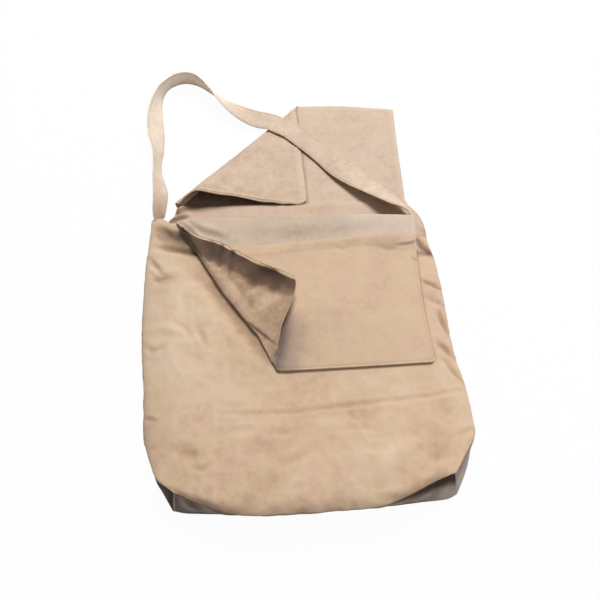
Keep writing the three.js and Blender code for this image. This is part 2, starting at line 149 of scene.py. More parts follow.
def crumple(x: Array, y: Array, cell: float, seed: int) -> Array:
    """Creased relief 1 - 2 |a| + b / 3 of two drifts, so that its ridges come to soft edges."""
    return 1.0 - 2.0 * np.abs(drift(x, y, cell, seed)) + drift(x, y, cell * 0.37, seed + 1) / 3.0


def through(knots: list[tuple[float, ...]], share: Array) -> Array:
    """Values of a smooth line through knots: a cubic Hermite curve with chord slopes.

    Args:
        knots: the values that the line passes, evenly spaced in share.
        share: places from 0 to 1 along the line.

    Returns:
        One row of values for each share.
    """
    rows = np.asarray(knots, float)
    slopes = np.gradient(rows, axis=0)
    place = np.clip(share, 0.0, 1.0) * (len(rows) - 1)
    step = np.minimum(place.astype(int), len(rows) - 2)
    t = (place - step)[..., None]
    bend = slopes[step] * t * (1 - t) ** 2 - slopes[step + 1] * t**2 * (1 - t)
    return mix(rows[step], rows[step + 1], t * t * (3.0 - 2.0 * t)) + bend


def profile(x: Array, stops: Stops, blur: float = 0.0) -> Array:
    """Value of a line through (place, value) stops, averaged over five places within a blur."""
    places, values = np.asarray(stops, float).T
    shifts = np.linspace(-blur, blur, 5)
    return sum(np.interp(np.asarray(x) + shift, places, values) for shift in shifts) / 5


def hemmed(edge: Array, width: float) -> Array:
    """Relief of a turned hem at a distance from the edge.

    The doubled cloth stands 0.8 mm proud with an eased step at the hem's width, and the stitch line
    just inside it is a dip of 0.5 mm.
    """
    return 0.8 * eased((width - edge) / 1.6 + 0.5) - 0.5 * bell(edge - width + 1.8, 0.9)


@dataclass(frozen=True)
class Crease:
    """A fold in the cloth along a line of plan points.

    The relief at a distance d from the line is depth * exp(-(d / width)^2), less a share of it at
    two shoulders 1.8 widths away, and it fades to nothing at both ends of the line.
    """

    line: tuple[tuple[float, float], ...]
    width: float
    depth: float
    shoulder: float = 0.35

    def relief(self, x: Array, s: Array) -> Array:
        """Height that the fold adds at plan places."""
        line = np.asarray(self.line, float)
        reached = walked(line) / walked(line)[-1]
        nearest, along = np.full(np.shape(x), 1e9), np.zeros(np.shape(x))
        for start, end, first, last in zip(line[:-1], line[1:], reached[:-1], reached[1:]):
            step = end - start
            t = ((x - start[0]) * step[0] + (s - start[1]) * step[1]) / (step @ step)
            t = np.clip(t, 0.0, 1.0)
            away = np.hypot(x - start[0] - t * step[0], s - start[1] - t * step[1])
            along = np.where(away < nearest, mix(first, last, t), along)
            nearest = np.minimum(away, nearest)
        q = nearest / self.width
        fold = bell(q, 1.0) - self.shoulder * np.exp(-((q - 1.8) ** 2) * 1.6)
        return self.depth * fold * np.sin(np.pi * mix(0.06, 0.94, along)) ** 0.8


@dataclass(frozen=True)
class Ripple:
    """Random relief over plan places moved by a shift: a drift, or a crumple where it is sharp."""

    depth: float
    cell: float
    seed: int
    shift: float
    sharp: bool = False

    def relief(self, x: Array, s: Array) -> Array:
        """Height that the ripple adds at plan places."""
        form = crumple if self.sharp else drift
        return self.depth * form(x + self.shift, s + self.shift, self.cell, self.seed)


def rolled(u: Array, share: float, radius: Array) -> tuple[Array, Array, Array]:
    """Section of a fold whose roll is a half circle over the first share of u.

    Returns:
        The roll's reach outwards and its height, and the share of the cloth beyond it.
    """
    angle = np.pi * np.clip(u / share, 0, 1)
    beyond = np.clip((u - share) / (1 - share), 0, 1)
    return radius * np.sin(angle) * (u < share), radius * (1 - np.cos(angle)), beyond


def folds(*rows: tuple, shoulder: float = 0.35) -> list[Crease]:
    """Creases from rows of line, width and depth, some with a shoulder of their own."""
    return [Crease(*row[:3], *(row[3:] or (shoulder,))) for row in rows]


def added(forms: list[Crease | Ripple], x: Array, s: Array) -> Array:
    """Sum of the relief of several folds or ripples."""
    return sum(form.relief(x, s) for form in forms)


@dataclass
class ClothGrid:
    """A sheet of points over two parameters, in millimetres.

    Rows follow v and columns follow u, and the sheet faces the cross product of u's and v's
    direction.
    """

    u: Array
    v: Array
    points: Array

    def spans(self) -> tuple[Array, Array]:
        """Both parameters at each point."""
        return tuple(np.meshgrid(self.u, self.v))

    def plan(self) -> tuple[Array, Array]:
        """Plan places x and s of each point."""
        return self.points[..., 0], self.points[..., 1] + SKEW * self.points[..., 0]

    def normals(self) -> Array:
        """Unit normals from central differences of the rows and columns."""
        return unit(np.cross(np.gradient(self.points, axis=1), np.gradient(self.points, axis=0)))

    def widths(self) -> Array:
        """Straight distance from the first to the last point of each row."""
        return np.linalg.norm(self.points[:, -1:] - self.points[:, :1], axis=-1)

    def raised(self, relief: Array) -> "ClothGrid":
        """The sheet moved along its normals by a relief."""
        return ClothGrid(self.u, self.v, self.points + self.normals() * relief[..., None])

    def sample(self, u: Array, v: Array) -> tuple[Array, Array]:
        """Points and normals at parameter places, mixed from the four nearest grid points."""
        column = np.clip(np.interp(u, self.u, np.arange(len(self.u))), 0, len(self.u) - 1.001)
        row = np.clip(np.interp(v, self.v, np.arange(len(self.v))), 0, len(self.v) - 1.001)
        i, j = row.astype(int), column.astype(int)
        up, right = (row - i)[:, None], (column - j)[:, None]
        found = []
        for values in (self.points, self.normals()):
            low = mix(values[i, j], values[i, j + 1], right)
            found.append(mix(low, mix(values[i + 1, j], values[i + 1, j + 1], right), up))
        return found[0], unit(found[1])


def spread(start: float, end: float, count: int, pull: float = 0.0) -> Array:
    """Parameters from start to end, drawn towards both ends by a sine share."""
    t = np.linspace(-1.0, 1.0, count)
    return mix(start, end, 0.5 + 0.5 * ((1 - pull) * t + pull * np.sin(np.pi * t / 2)))


def roll_columns(share: float, count: int) -> Array:
    """Parameters over a fold's roll and the cloth beyond it."""
    return np.concatenate([np.linspace(0, share, 14)[:-1], spread(share, 1.0, count, 0.2)])


def grid(face, u: Array, v: Array) -> ClothGrid:
    """The sheet of a face, which is a function of two arrays of parameters."""
    return ClothGrid(u, v, face(*np.meshgrid(u, v)))


def standing_wall(lower: Array, upper: Array, bulge: float, levels: int) -> ClothGrid:
    """A standing wall between two rows of points that run counterclockwise round the pouch.

    Each column is a straight mix of its lower and upper point plus an outward swell of
    bulge * sin(pi * t), with outward square to the lower row in plan.

    Args:
        lower: lower row.
        upper: upper row.
        bulge: swell at half height.
        levels: number of rows.

    Returns:
        The wall's grid.
    """
    ahead = unit(np.gradient(lower, axis=0) * [1, 1, 0])
    outward = np.stack([ahead[:, 1], -ahead[:, 0], 0 * ahead[:, 0]], axis=-1)
    t = np.linspace(0, 1, levels)
    rise = t[:, None, None]
    points = mix(lower[None], upper[None], rise) + outward[None] * bulge * np.sin(np.pi * rise)
    return ClothGrid(np.linspace(0, 1, len(lower)), t, points)


def placed(name: str, data: bpy.types.ID) -> bpy.types.Object:
    """A new object in the scene."""
    made = bpy.data.objects.new(name, data)
    bpy.context.scene.collection.objects.link(made)
    return made


def turn_to(made: bpy.types.Object, direction: Vector) -> None:
    """Turns a lamp or the camera to look along a direction."""
    made.rotation_euler = direction.to_track_quat("-Z", "Y").to_euler()


def mesh_object(
    name: str, points: Array, faces: list, flat: Array | None = None, painted_shading: Array | None = None
) -> bpy.types.Object:
    """A smooth object at the origin from points in millimetres.

    Args:
        name: name of the piece.
        points: points in any shape whose last axis is x, y and z.
        faces: rows of point numbers.
        flat: flat cloth coordinates per point, in millimetres.
        painted_shading: painted light and shade per point, lighter on crests and darker in folds.

    Returns:
        The new object.
    """
    mesh = bpy.data.meshes.new(name)
    mesh.from_pydata((points.reshape(-1, 3) * MM).tolist(), [], faces)
    if flat is not None:
        corners = np.empty(len(mesh.loops), np.int32)
        mesh.loops.foreach_get("vertex_index", corners)
        flat = (flat.reshape(-1, 2) * MM)[corners]
        mesh.uv_layers.new(name="cloth").data.foreach_set("uv", flat.astype(np.float32).ravel())
    if painted_shading is not None:
        layer = mesh.attributes.new("painted_shade_tone", "FLOAT", "POINT")
        layer.data.foreach_set("value", painted_shading.astype(np.float32).ravel())
    mesh.shade_smooth()
    mesh.update()
    return placed(name, mesh)


def grid_faces(rows: int, columns: int, closed: bool = False) -> Array:
    """Quads of a grid of points, joined round the columns where it is closed."""
    reach = columns if closed else columns - 1
    row, column = np.meshgrid(np.arange(rows - 1), np.arange(reach), indexing="ij")
    here, after = row * columns, (column + 1) % columns
    quads = [here + column, here + after, here + columns + after, here + columns + column]
    return np.stack(quads, axis=-1).reshape(-1, 4)


def sheet_object(
    name: str, cloth: ClothGrid, flat: tuple[Array, Array], thickness: float, painted_shading: Array
) -> bpy.types.Object:
    """A sheet of cloth with a real thickness behind its face.

    Args:
        name: name of the piece.
        cloth: the face of the sheet.
        flat: both cloth coordinates of each grid point, in millimetres.
        thickness: thickness of the cloth.
        painted_shading: painted light and shade per point.

    Returns:
        The new object.
    """
    faces = grid_faces(*cloth.points.shape[:2]).tolist()
    flat = np.stack(np.broadcast_arrays(*flat), axis=-1)
    made = mesh_object(name, cloth.points, faces, flat, painted_shading)
    wall = made.modifiers.new("cloth", "SOLIDIFY")
    wall.thickness, wall.offset = thickness * MM, -1.0
    return made


SPINDLE_ALONG = np.array([-0.36, -0.2, 0.2, 0.36])
SPINDLE_RADIUS = np.array([0.1, 0.34, 0.34, 0.1])
SPINDLE_RISE = np.array([-0.22, 0.1, 0.1, -0.22])
SPINDLE_SIDES = 5


def stitch_run(cloth: ClothGrid, u: Array, v: Array, pitch: float = 3.2) -> Array:
    """Small closed stitches along a line on a sheet.

    The line is walked in steps of the pitch, and at each step stands a five-sided spindle with its
    own radius and rise at four places along its length.

    Args:
        cloth: the sheet that the line runs on.
        u: first parameter along the line.
        v: second parameter along the line.
        pitch: distance from stitch to stitch.

    Returns:
        Points of all the stitches, by stitch, ring and side.
    """
    points, normals = cloth.sample(*np.broadcast_arrays(u, v))
    reached = walked(points)
    stops = np.arange(pitch / 2, reached[-1], pitch)
    place, up = (
        np.stack([np.interp(stops, reached, values[:, axis]) for axis in range(3)], axis=-1)
        for values in (points, normals)
    )
    up, ahead = unit(up), unit(np.gradient(place, axis=0))
    side = unit(np.cross(up, ahead))
    turn = np.linspace(0, 2 * np.pi, SPINDLE_SIDES, endpoint=False)[None, :, None]
    ring = np.cos(turn) * side[:, None, None, :] + np.sin(turn) * up[:, None, None, :]
    spine = ahead[:, None] * SPINDLE_ALONG[:, None] * pitch + up[:, None] * SPINDLE_RISE[:, None]
    return place[:, None, None] + spine[:, :, None] + SPINDLE_RADIUS[:, None, None] * ring


def stitches_object(name: str, runs: list[Array]) -> bpy.types.Object:
    """One piece from several runs of stitches, each stitch a closed spindle."""
    points = np.concatenate(runs)
    rings = len(SPINDLE_ALONG)
    first = np.arange(len(points))[:, None] * rings * SPINDLE_SIDES
    wall = grid_faces(rings, SPINDLE_SIDES, closed=True)
    quads = (first[:, None] + wall[None]).reshape(-1, 4)
    side = np.arange(SPINDLE_SIDES)
    caps = np.concatenate([first + side[::-1], first + (rings - 1) * SPINDLE_SIDES + side])
    return mesh_object(name, points, quads.tolist() + caps.tolist())


# Finishes


class Side(Enum):
    """Which face of the cloth a finish shows, with the strength of its ribs."""

    RIGHT = 0.6
    WRONG = 0.25


@dataclass(frozen=True)
class ClothFinish:
    """Look of one cloth, as sRGB colours from 0 to 255 and sizes in metres."""

    name: str
    body: tuple[int, int, int]
    # Pale and deep are reached by the nap's random patches and also by painted highlight and
    # painted shade.
    pale: tuple[int, int, int]
    deep: tuple[int, int, int]
    # The darkest colour is painted shadow for deep folds and shaded places.
    painted_shadow: tuple[int, int, int] = (104, 86, 72)
    wale_width: float = 0.0013
    wale_depth: float = 0.00022
    blotch: float = 0.5
    gloss: float = 0.18
    sheen: float = 0.12
    side: Side = Side.RIGHT


CORDUROY = ClothFinish(
    "corduroy_face", (207, 178, 149), (220, 196, 169), (183, 152, 124), blotch=0.36
)
# A cooler tinted copy of the corduroy: painted light standing for the cooler light on the cover.
COOL_LIT_CLOTH = ClothFinish("corduroy_cool_lit", (207, 183, 161), (219, 199, 180), (186, 160, 137))
# The pocket's corduroy with greyer deep and darkest colours for its painted grey shadow.
GREY_SHADE_POCKET_CLOTH = ClothFinish(
    "corduroy_pocket_grey_shade", (208, 179, 150), (220, 196, 169), (176, 153, 133), (108, 93, 84), blotch=0.32
)
CORDUROY_BACK = ClothFinish(
    "corduroy_back", (196, 176, 156), (210, 193, 175), (174, 153, 135), side=Side.WRONG
)
HEM_CLOTH = ClothFinish(
    "hem_corduroy", (204, 179, 157), (248, 233, 214), (180, 155, 132), blotch=0.35
)
# The base is coloured darker than the front; its darkest colour is painted shadow.
BASE_CLOTH = ClothFinish(
    "base_darker_cloth", (130, 112, 102), (194, 181, 171), (80, 65, 57), (46, 36, 31),
    blotch=0.25, gloss=0.06, sheen=0.02,
)
# A darker copy of the corduroy for the pocket flap's folded corner: painted shade, with a pale stop
# for its painted hem highlight.
SHADED_CORNER_CLOTH = ClothFinish(
    "corduroy_shaded_corner", (184, 154, 125), (248, 224, 196), (116, 92, 75), (76, 60, 48), blotch=0.3
)
THREAD_DARK, THREAD_PALE = (176, 148, 120), (214, 190, 162)


def linear(colour: tuple[int, int, int]) -> Colour:
    """Scene colour of an sRGB colour: ((c + 0.055) / 1.055)^2.4 above 0.04045."""
    shares = [channel / 255 for channel in colour]
    return (*[c / 12.92 if c < 0.04045 else ((c + 0.055) / 1.055) ** 2.4 for c in shares], 1.0)


class NodeBench:
    """Adds and joins shader nodes in one tree."""

    def __init__(self, tree: bpy.types.NodeTree) -> None:
        """Works on the given tree."""
        self.tree = tree

    def add(self, kind: str, inputs: dict | None = None, **settings: object) -> bpy.types.Node:
        """A new node with some of its settings and inputs."""
        node = self.tree.nodes.new(kind)
        for key, value in settings.items():
            setattr(node, key, value)
        return self.feed(node, inputs or {})

    def feed(self, node: bpy.types.Node, inputs: dict[str | int, object]) -> bpy.types.Node:
        """Sets a node's inputs to values, or joins sockets to them."""
        for label, value in inputs.items():
            if isinstance(value, bpy.types.NodeSocket):
                self.tree.links.new(value, node.inputs[label])
            else:
                node.inputs[label].default_value = value
        return node

    def math(self, operation: str, *values: object) -> bpy.types.NodeSocket:
        """Result of a math node whose inputs are numbers or sockets."""
        node = self.add("ShaderNodeMath", dict(enumerate(values)), operation=operation)
        return node.outputs[0]

    def noise(
        self, vector: bpy.types.NodeSocket, scale: float, detail: float
    ) -> bpy.types.NodeSocket:
        """Noise value at a vector."""
        inputs = {"Scale": scale, "Detail": detail, "Vector": vector}
        return self.add("ShaderNodeTexNoise", inputs).outputs["Fac"]

    def ramp(self, share: bpy.types.NodeSocket, stops: dict[float, Colour]) -> bpy.types.NodeSocket:
        """Colour of a ramp with colours at rising places."""
        node = self.add("ShaderNodeValToRGB", {"Fac": share})
        (first, start), *middle, (last, end) = stops.items()
        elements = node.color_ramp.elements
        elements[0].position, elements[0].color = first, start
        elements[1].position, elements[1].color = last, end
        for place, colour in middle:
            elements.new(place).color = colour
        return node.outputs["Color"]

    def seen(self, *rays: str) -> bpy.types.NodeSocket:
        """1 for the named kinds of ray and 0 for the rest."""
        path = self.add("ShaderNodeLightPath")
        share = path.outputs[rays[0]]
        for ray in rays[1:]:
            share = self.math("MAXIMUM", share, path.outputs[ray])
        return share


def new_material(name: str) -> tuple[bpy.types.Material, NodeBench, bpy.types.Node]:
    """A new material with a bench for its nodes, and its main shader."""
    material = bpy.data.materials.new(name)
    material.use_nodes = True
    tree = material.node_tree
    return material, NodeBench(tree), tree.nodes["Principled BSDF"]


def new_group(
    name: str, inputs: dict[str, float | str], outputs: list[str]
) -> tuple[NodeBench, bpy.types.Node, bpy.types.Node]:
    """A shader group's bench and both its ends; an input given as VECTOR takes a vector."""
    group = bpy.data.node_groups.new(name, "ShaderNodeTree")
    for label, value in inputs.items():
        kind = "NodeSocketVector" if value == "VECTOR" else "NodeSocketFloat"
        socket = group.interface.new_socket(label, in_out="INPUT", socket_type=kind)
        if value != "VECTOR":
            socket.default_value = value
    for label in outputs:
        group.interface.new_socket(label, in_out="OUTPUT", socket_type="NodeSocketFloat")
    bench = NodeBench(group)
    return bench, bench.add("NodeGroupInput"), bench.add("NodeGroupOutput")


def wale_group() -> bpy.types.NodeTree:
    """Fine corduroy ribs.

    The first cloth coordinate over the rib width, bent a little by noise, is taken as the angle of
    a sine whose absolute value, to the power 0.7, is the rib's height. The weave between the ribs
    and the pile on them are noise stretched along the rib.
    """
    inputs = {"Cloth": "VECTOR", "Width": 0.0013, "Waver": 0.35}
    bench, enter, leave = new_group("corduroy_wale", inputs, ["Height", "Pile"])
    cloth, width, waver = (enter.outputs[label] for label in inputs)
    across = bench.add("ShaderNodeSeparateXYZ", {0: cloth}).outputs[0]
    bend = bench.math("MULTIPLY", bench.noise(cloth, 55.0, 2.0), waver)
    turns = bench.math("ADD", bench.math("DIVIDE", across, width), bend)
    rib = bench.math("ABSOLUTE", bench.math("SINE", bench.math("MULTIPLY", turns, math.pi)))
    long = bench.add("ShaderNodeMapping", {"Scale": (1.0, 0.35, 1.0), "Vector": cloth}).outputs[0]
    height, pile = bench.math("POWER", rib, 0.7), bench.noise(long, 1400.0, 3.0)
    bench.feed(leave, {"Height": height, "Pile": pile})
    return bench.tree


def nap_group() -> bpy.types.NodeTree:
    """Brushed patches of the nap: three sizes of noise, mixed and drawn out round the middle."""
    inputs = {"Place": "VECTOR", "Contrast": 1.0}
    bench, enter, leave = new_group("brushed_nap", inputs, ["Shade"])
    place = enter.outputs["Place"]
    sizes = [(13.0, 3.0, 0.4), (48.0, 3.0, 0.3), (150.0, 2.0, 0.3)]
    broad, middle, small = (
        bench.math("MULTIPLY", bench.noise(place, scale, detail), weight)
        for scale, detail, weight in sizes
    )
    both = bench.math("ADD", bench.math("ADD", broad, middle), small)
    drawn = bench.math("MULTIPLY", bench.math("SUBTRACT", both, 0.5), enter.outputs["Contrast"])
    bench.feed(leave, {"Shade": bench.math("ADD", drawn, 0.5)})
    return bench.tree


class Wardrobe:
    """Builds each finish once and hands it out."""

    FOLD_WEIGHT, RIB_WEIGHT, PILE_WEIGHT = 0.14, 0.16, 0.45
    DEEP_PLACE, BODY_PLACE = 0.58, 0.75
    CAST = {0.36: (1.005, 0.985, 1.015, 1.0), 0.64: (1.0, 1.0, 0.965, 1.0)}

    def __init__(self) -> None:
        """Makes the shared groups."""
        self.wale = wale_group()
        self.nap = nap_group()
        self.made: dict[str, bpy.types.Material] = {}

    def cloth(self, finish: ClothFinish) -> bpy.types.Material:
        """Material of a cloth finish.

        Args:
            finish: the cloth's colours and rib sizes.

        Returns:
            The material, made at the first call.
        """
        if finish.name not in self.made:
            self.made[finish.name] = self.new_cloth(finish)
        return self.made[finish.name]

    def new_cloth(self, finish: ClothFinish) -> bpy.types.Material:
        """Ribs, nap and painted light and shade on one ramp of the cloth's four colours."""
        material, bench, shader = new_material(finish.name)
        flat = bench.add("ShaderNodeUVMap", uv_map="cloth").outputs[0]
        place = bench.add("ShaderNodeTexCoord").outputs["Object"]
        # Painted light and shade per point: above zero a painted highlight, below zero painted
        # shade.
        painted_shading = bench.add("ShaderNodeAttribute", attribute_name="painted_shade_tone").outputs["Fac"]
        rib_inputs = {"Width": finish.wale_width, "Cloth": flat}
        ribs = bench.add("ShaderNodeGroup", rib_inputs, node_tree=self.wale)
        height, pile = ribs.outputs["Height"], ribs.outputs["Pile"]
        nap_inputs = {"Contrast": 2.8 * finish.blotch, "Place": place}
        nap = bench.add("ShaderNodeGroup", nap_inputs, node_tree=self.nap)
        fold = bench.math("MULTIPLY", painted_shading, self.FOLD_WEIGHT)
        furrow = bench.math("MULTIPLY", bench.math("SUBTRACT", height, 0.62), self.RIB_WEIGHT)
        speck = bench.math("MULTIPLY", bench.math("SUBTRACT", pile, 0.5), self.PILE_WEIGHT)
        shade = bench.math("ADD", nap.outputs["Shade"], fold)
        shade = bench.math("ADD", bench.math("ADD", shade, furrow), speck)
        colours = {
            # The first stop is the painted shadow colour.
            0.0: linear(finish.painted_shadow), self.DEEP_PLACE: linear(finish.deep),
            self.BODY_PLACE: linear(finish.body), 1.0: linear(finish.pale),
        }
        colour = bench.ramp(bench.math("MULTIPLY_ADD", shade, 0.5, 0.5), colours)
        cast = bench.ramp(bench.noise(place, 26.0, 2.0), self.CAST)
        hue = bench.add(
            "ShaderNodeMix", {"Factor": 1.0, "A": colour, "B": cast},
            data_type="RGBA", blend_type="MULTIPLY",
        )
        relief = bench.math("ADD", height, bench.math("MULTIPLY", pile, 0.8))
        bump = {"Distance": finish.wale_depth, "Strength": finish.side.value, "Height": relief}
        bench.feed(shader, {
            "Base Color": hue.outputs["Result"],
            "Roughness": bench.math("ADD", bench.math("MULTIPLY", pile, 0.14), 0.84),
            "Specular IOR Level": finish.gloss,
            "Sheen Weight": finish.sheen,
            "Sheen Roughness": 0.6,
            "Normal": bench.add("ShaderNodeBump", bump).outputs[0],
        })
        return material

    def thread(self) -> bpy.types.Material:
        """Sewing thread: plain tan with a faint twist along it."""
        if "thread" not in self.made:
            self.made["thread"], bench, shader = new_material("sewing_thread")
            place = bench.add("ShaderNodeTexCoord").outputs["Object"]
            colours = {0.0: linear(THREAD_DARK), 1.0: linear(THREAD_PALE)}
            colour = bench.ramp(bench.noise(place, 900.0, 2.0), colours)
            bench.feed(shader, {"Base Color": colour, "Roughness": 0.7, "Specular IOR Level": 0.3})
        return self.made["thread"]

    def sewn(self, name: str, runs: list[Array]) -> bpy.types.Object:
        """A dressed piece of thread from several runs of stitches."""
        thread = stitches_object(name, runs)
        dress(thread, self.thread())
        return thread


def dress(piece: bpy.types.Object, material: bpy.types.Material) -> None:
    """Gives a piece its material and logs it."""
    piece.data.materials.append(material)
    log.info("%s: %d faces", piece.name, len(piece.data.polygons))


# Sub-assemblies


@dataclass
class Pouch:
    """Front cloth, side walls and boxed base of the pouch."""

    wardrobe: Wardrobe
    half_width: float = 197.0
    length: float = 400.0
    mouth_s: float = 189.5
    corner_lift: tuple[float, float] = (12.5, 10.0)
    box_start_s: float = -124.0
    front_base_s: float = -217.5
    back_base_s: float = -198.0
    back_corner_half: float = 163.0
    mouth_height: float = 27.7
    middle_height: float = 31.0
    middle_s: float = -44.0
    base_height: float = 52.0
    base_roll: float = 6.0
    base_depth: float = 50.0
    base_swell: float = 1.6
    base_tuck: float = 1.4
    side_depth: float = 16.0
    side_swell: float = 2.2
    side_tuck: float = 0.4
    foot_tuck: float = 0.8
    thickness: float = 1.5
    front: ClothGrid = field(init=False)

    EDGE_BLUR, FOOT_BLUR, FLOOR_BLUR = 3.0, 6.0, 5.0
    SIDE_LEVELS, BASE_LEVELS = 15, 27
    RIPPLES = [
        Ripple(1.3, 74.0, 5, 300), Ripple(0.8, 40.0, 8, 300, True), Ripple(0.5, 14.0, 15, 300, True)
    ]
    CREASES = folds(
        (((-192, 156), (-171, 149), (-147, 141.6), (-122, 135)), 5.0, -3.4, 0.1),
        (((-186, 178), (-166, 168), (-140, 150)), 15.0, -6.0, 0.0),
        (((-191, 192), (-176, 180), (-160, 168)), 5.0, -2.4),
        (((-196, 130), (-187, 119), (-177, 104)), 4.0, -2.4, 0.2),
        (((-197, 114), (-183, 99), (-164, 104)), 5.0, -2.0, 0.2),
        (((-204, 6), (-187, -6), (-170, -1)), 5.0, -1.5, 0.2),
        (((-198, 22), (-176, 26), (-150, 16), (-136, -2)), 6.0, 1.4, 0.2),
        (((-128, 20), (-124, 8), (-120, -5)), 4.0, -1.8, 0.3),
        (((-160, 30), (-146, 20), (-132, 0)), 4.0, -1.2, 0.2),
        (((-204, -93), (-190, -96), (-178, -101)), 3.0, -1.6),
        (((-112, -96), (-80, -98.4), (-45, -98), (-8, -97)), 3.0, -0.9),
        (
            ((-40, -99), (-10, -97.3), (49.7, -90.9), (109.7, -86.5), (150, -82), (200, -70)),
            3.0, -1.5,
        ),
        (((10, -121), (40, -120), (80, -123)), 4.0, -0.7),
        (((-112, -121), (-69, -119), (-12, -125)), 4.5, -1.0),
        (((-156, -136), (-140, -141), (-128, -150)), 6.5, -2.0),
        (((-134, -160), (-124, -163), (-114, -157)), 3.5, -1.6),
        (((-36, -160), (-15, -153), (2, -143)), 5.0, -1.2),
        (((172, 152), (183, 142), (196, 128)), 7.0, -4.5, 0.0),
        (((164, 88), (180, 80), (212, 68)), 3.6, -2.2, 0.2),
        (((168, 60), (180, 52), (190, 48)), 4.0, -1.6, 0.2),
        (((184, 36), (187, 18), (191, 2)), 4.0, -2.8, 0.1),
        (((170, -6), (179, -17), (190, -30)), 4.5, -2.6, 0.2),
        (((177, -30), (185, -48), (194, -60)), 4.5, -2.6, 0.2),
        (((168, -132), (200, -120)), 3.5, -1.2),
        (((124, -165), (152, -149)), 7.0, -0.7),
        (((-150, 122), (-100, 60), (-60, 5), (-44, -40)), 10.0, -1.6),
        (((60, -176), (90, -150), (128, -132)), 8.0, 1.4),
    )
    # Painted shadows in folds, in the hollow by the mouth's left corner and in the tuck below the
    # strap's end; the wide band across the middle is painted lighter.
    PAINTED_SHADE_MARKS = folds(
        (((174, 162), (183, 143), (203, 128)), 4.5, 6.5),
        (((166, 127), (182, 131), (206, 132)), 4.5, 7.0),
        (((-186, 178), (-157, 164), (-136, 146)), 14.0, 2.2),
        (((-192, 185), (-166, 170), (-144, 154)), 7.0, 3.4),
        (((-180, 153), (-147, 142), (-112, 131)), 5.5, 6.5),
        (((-196, 190), (-182, 182), (-160, 170)), 3.5, 2.6),
        (((-206, 148), (-190, 131), (-176, 116)), 3.5, 4.0),
        (((-200, 103), (-184, 100), (-156, 102)), 4.5, 4.0),
        (((-188, 96), (-172, 93), (-160, 98)), 4.0, 2.4),
        (((-40, -66), (60, -64), (170, -56)), 20.0, -1.6),
        (((-208, 8), (-188, -6), (-168, 0)), 3.5, 2.6),
        (((-166, 22), (-148, 14), (-134, -2)), 4.0, 1.6),
        (((-129, 22), (-124, 8), (-119, -8)), 3.0, 1.6),
        (((176, 68), (186, 56), (198, 36)), 5.0, 1.6),
        (((80, -206), (110, -196), (156, -176)), 6.0, 3.0),
        (((-158, -184), (-112, -206), (-76, -216)), 5.0, 3.2),
        (((168, 86), (188, 77), (214, 66)), 3.2, 3.0),
        (((184, 40), (188, 22), (193, 4)), 5.0, 3.0),
        (((176, -4), (184, -18), (194, -30)), 5.0, 2.8),
        (((182, -42), (190, -56), (198, -64)), 4.0, 2.0),
        shoulder=0.0,
    )
    FLAP_FOLD = [
        (-43.5, -35), (5.5, -54), (29.5, -70), (69.5, -95.5), (129.5, -126.5), (189.5, -158)
    ]
    FLAP_EDGE = [
        (-43.5, 163), (4.5, 163), (33.5, 163.4), (63.5, 165), (107.5, 169.2), (161.5, 175.8),
        (189.5, 178.5),
    ]
    SHADE_WIDTH = [(-43, 6.0), (20, 15.0), (100, 28.0), (180, 32.0)]
    FOOT = [
        (-154, -186), (-144, -191.5), (-130, -198.5), (-112, -206), (-94, -212.5), (-80, -214.6),
        (-60, -215.2), (0, -214.6), (48.9, -212.6), (65.7, -210.4), (79.4, -207.4), (93.6, -202.0),
        (108.4, -195.2), (125.3, -188), (140.3, -181.6), (154.5, -176.4),
    ]
    SIDES = {
        -1: [
            (-187, -154), (-180.4, -164.3), (-172.4, -174.2), (-163.3, -179.6), (-142.3, -188.2),
            (-126.4, -193.8), (-106.3, -196.7), (-68, -198.0), (-41, -199.7), (0, -202.6),
            (30, -203.7), (66, -203.8), (98, -202.9), (125, -202.2), (142, -201.1), (164, -199.1),
            (178, -197.4), (204, -195.4),
        ],
        1: [
            (-176.4, 154.5), (-171.2, 159.5), (-152.4, 174.6), (-132.5, 191), (-127.2, 194.2),
            (-118.4, 196.3), (-100, 197), (-76, 197.5), (-56, 197), (-36, 194.2), (-10, 193.2),
            (10, 193.6), (44, 195.6), (78, 197.4), (104, 197.4), (130, 197), (145, 195),
            (158, 193.8), (178, 193.4), (200, 191.5),
        ],
    }
    SIDE_HEIGHTS = {
        -1: [
            (-187, 45), (-180.4, 42), (-172.4, 37), (-163.3, 32), (-142.3, 22), (-126.4, 16),
            (-60, 12), (160, 13), (202, 18),
        ],
        1: [
            (-176.4, 44), (-171.2, 40), (-152.4, 28), (-132.5, 17), (-127.2, 15), (-118.4, 14),
            (200.5, 12),
        ],
    }
    FLOOR = [
        (-163, -198), (-150, -201.5), (-96, -204.7), (0, -203.8), (60, -202.6), (87, -202),
        (120, -199), (146, -197.4), (156, -195.4), (163, -190.0),
    ]

    def top_s(self, side: int) -> float:
        """Place of one of the mouth's outer corners."""
        return self.mouth_s + self.corner_lift[side > 0]

    def side_edge(self, side: int, s: Array) -> Array:
        """Plan x of a side edge."""
        return profile(s, self.SIDES[side], self.EDGE_BLUR)

    def side_line(self, side: int, v: Array) -> tuple[Array, Array]:
        """Plan x and height of a side edge at shares from the box corner to the mouth corner."""
        s = mix(self.SIDES[side][0][0], self.top_s(side), v)
        return self.side_edge(side, s), profile(s, self.SIDE_HEIGHTS[side], self.EDGE_BLUR)

    def box_share(self, side: int) -> float:
        """Share of a side edge that lies along the boxed corner."""
        corner = self.SIDES[side][0][0]
        return (self.box_start_s - corner) / (self.top_s(side) - corner)

    def ridge(self, s: Array) -> Array:
        """Height of the front along its middle: level over the flap, then an eased rise."""
        share = (s - self.middle_s) / (self.mouth_s - self.middle_s)
        upper = mix(self.middle_height, self.mouth_height, share)
        rise = short(s, self.middle_s, self.middle_s - self.front_base_s)
        return np.where(s > self.middle_s, upper, mix(self.middle_height, self.base_height, rise))

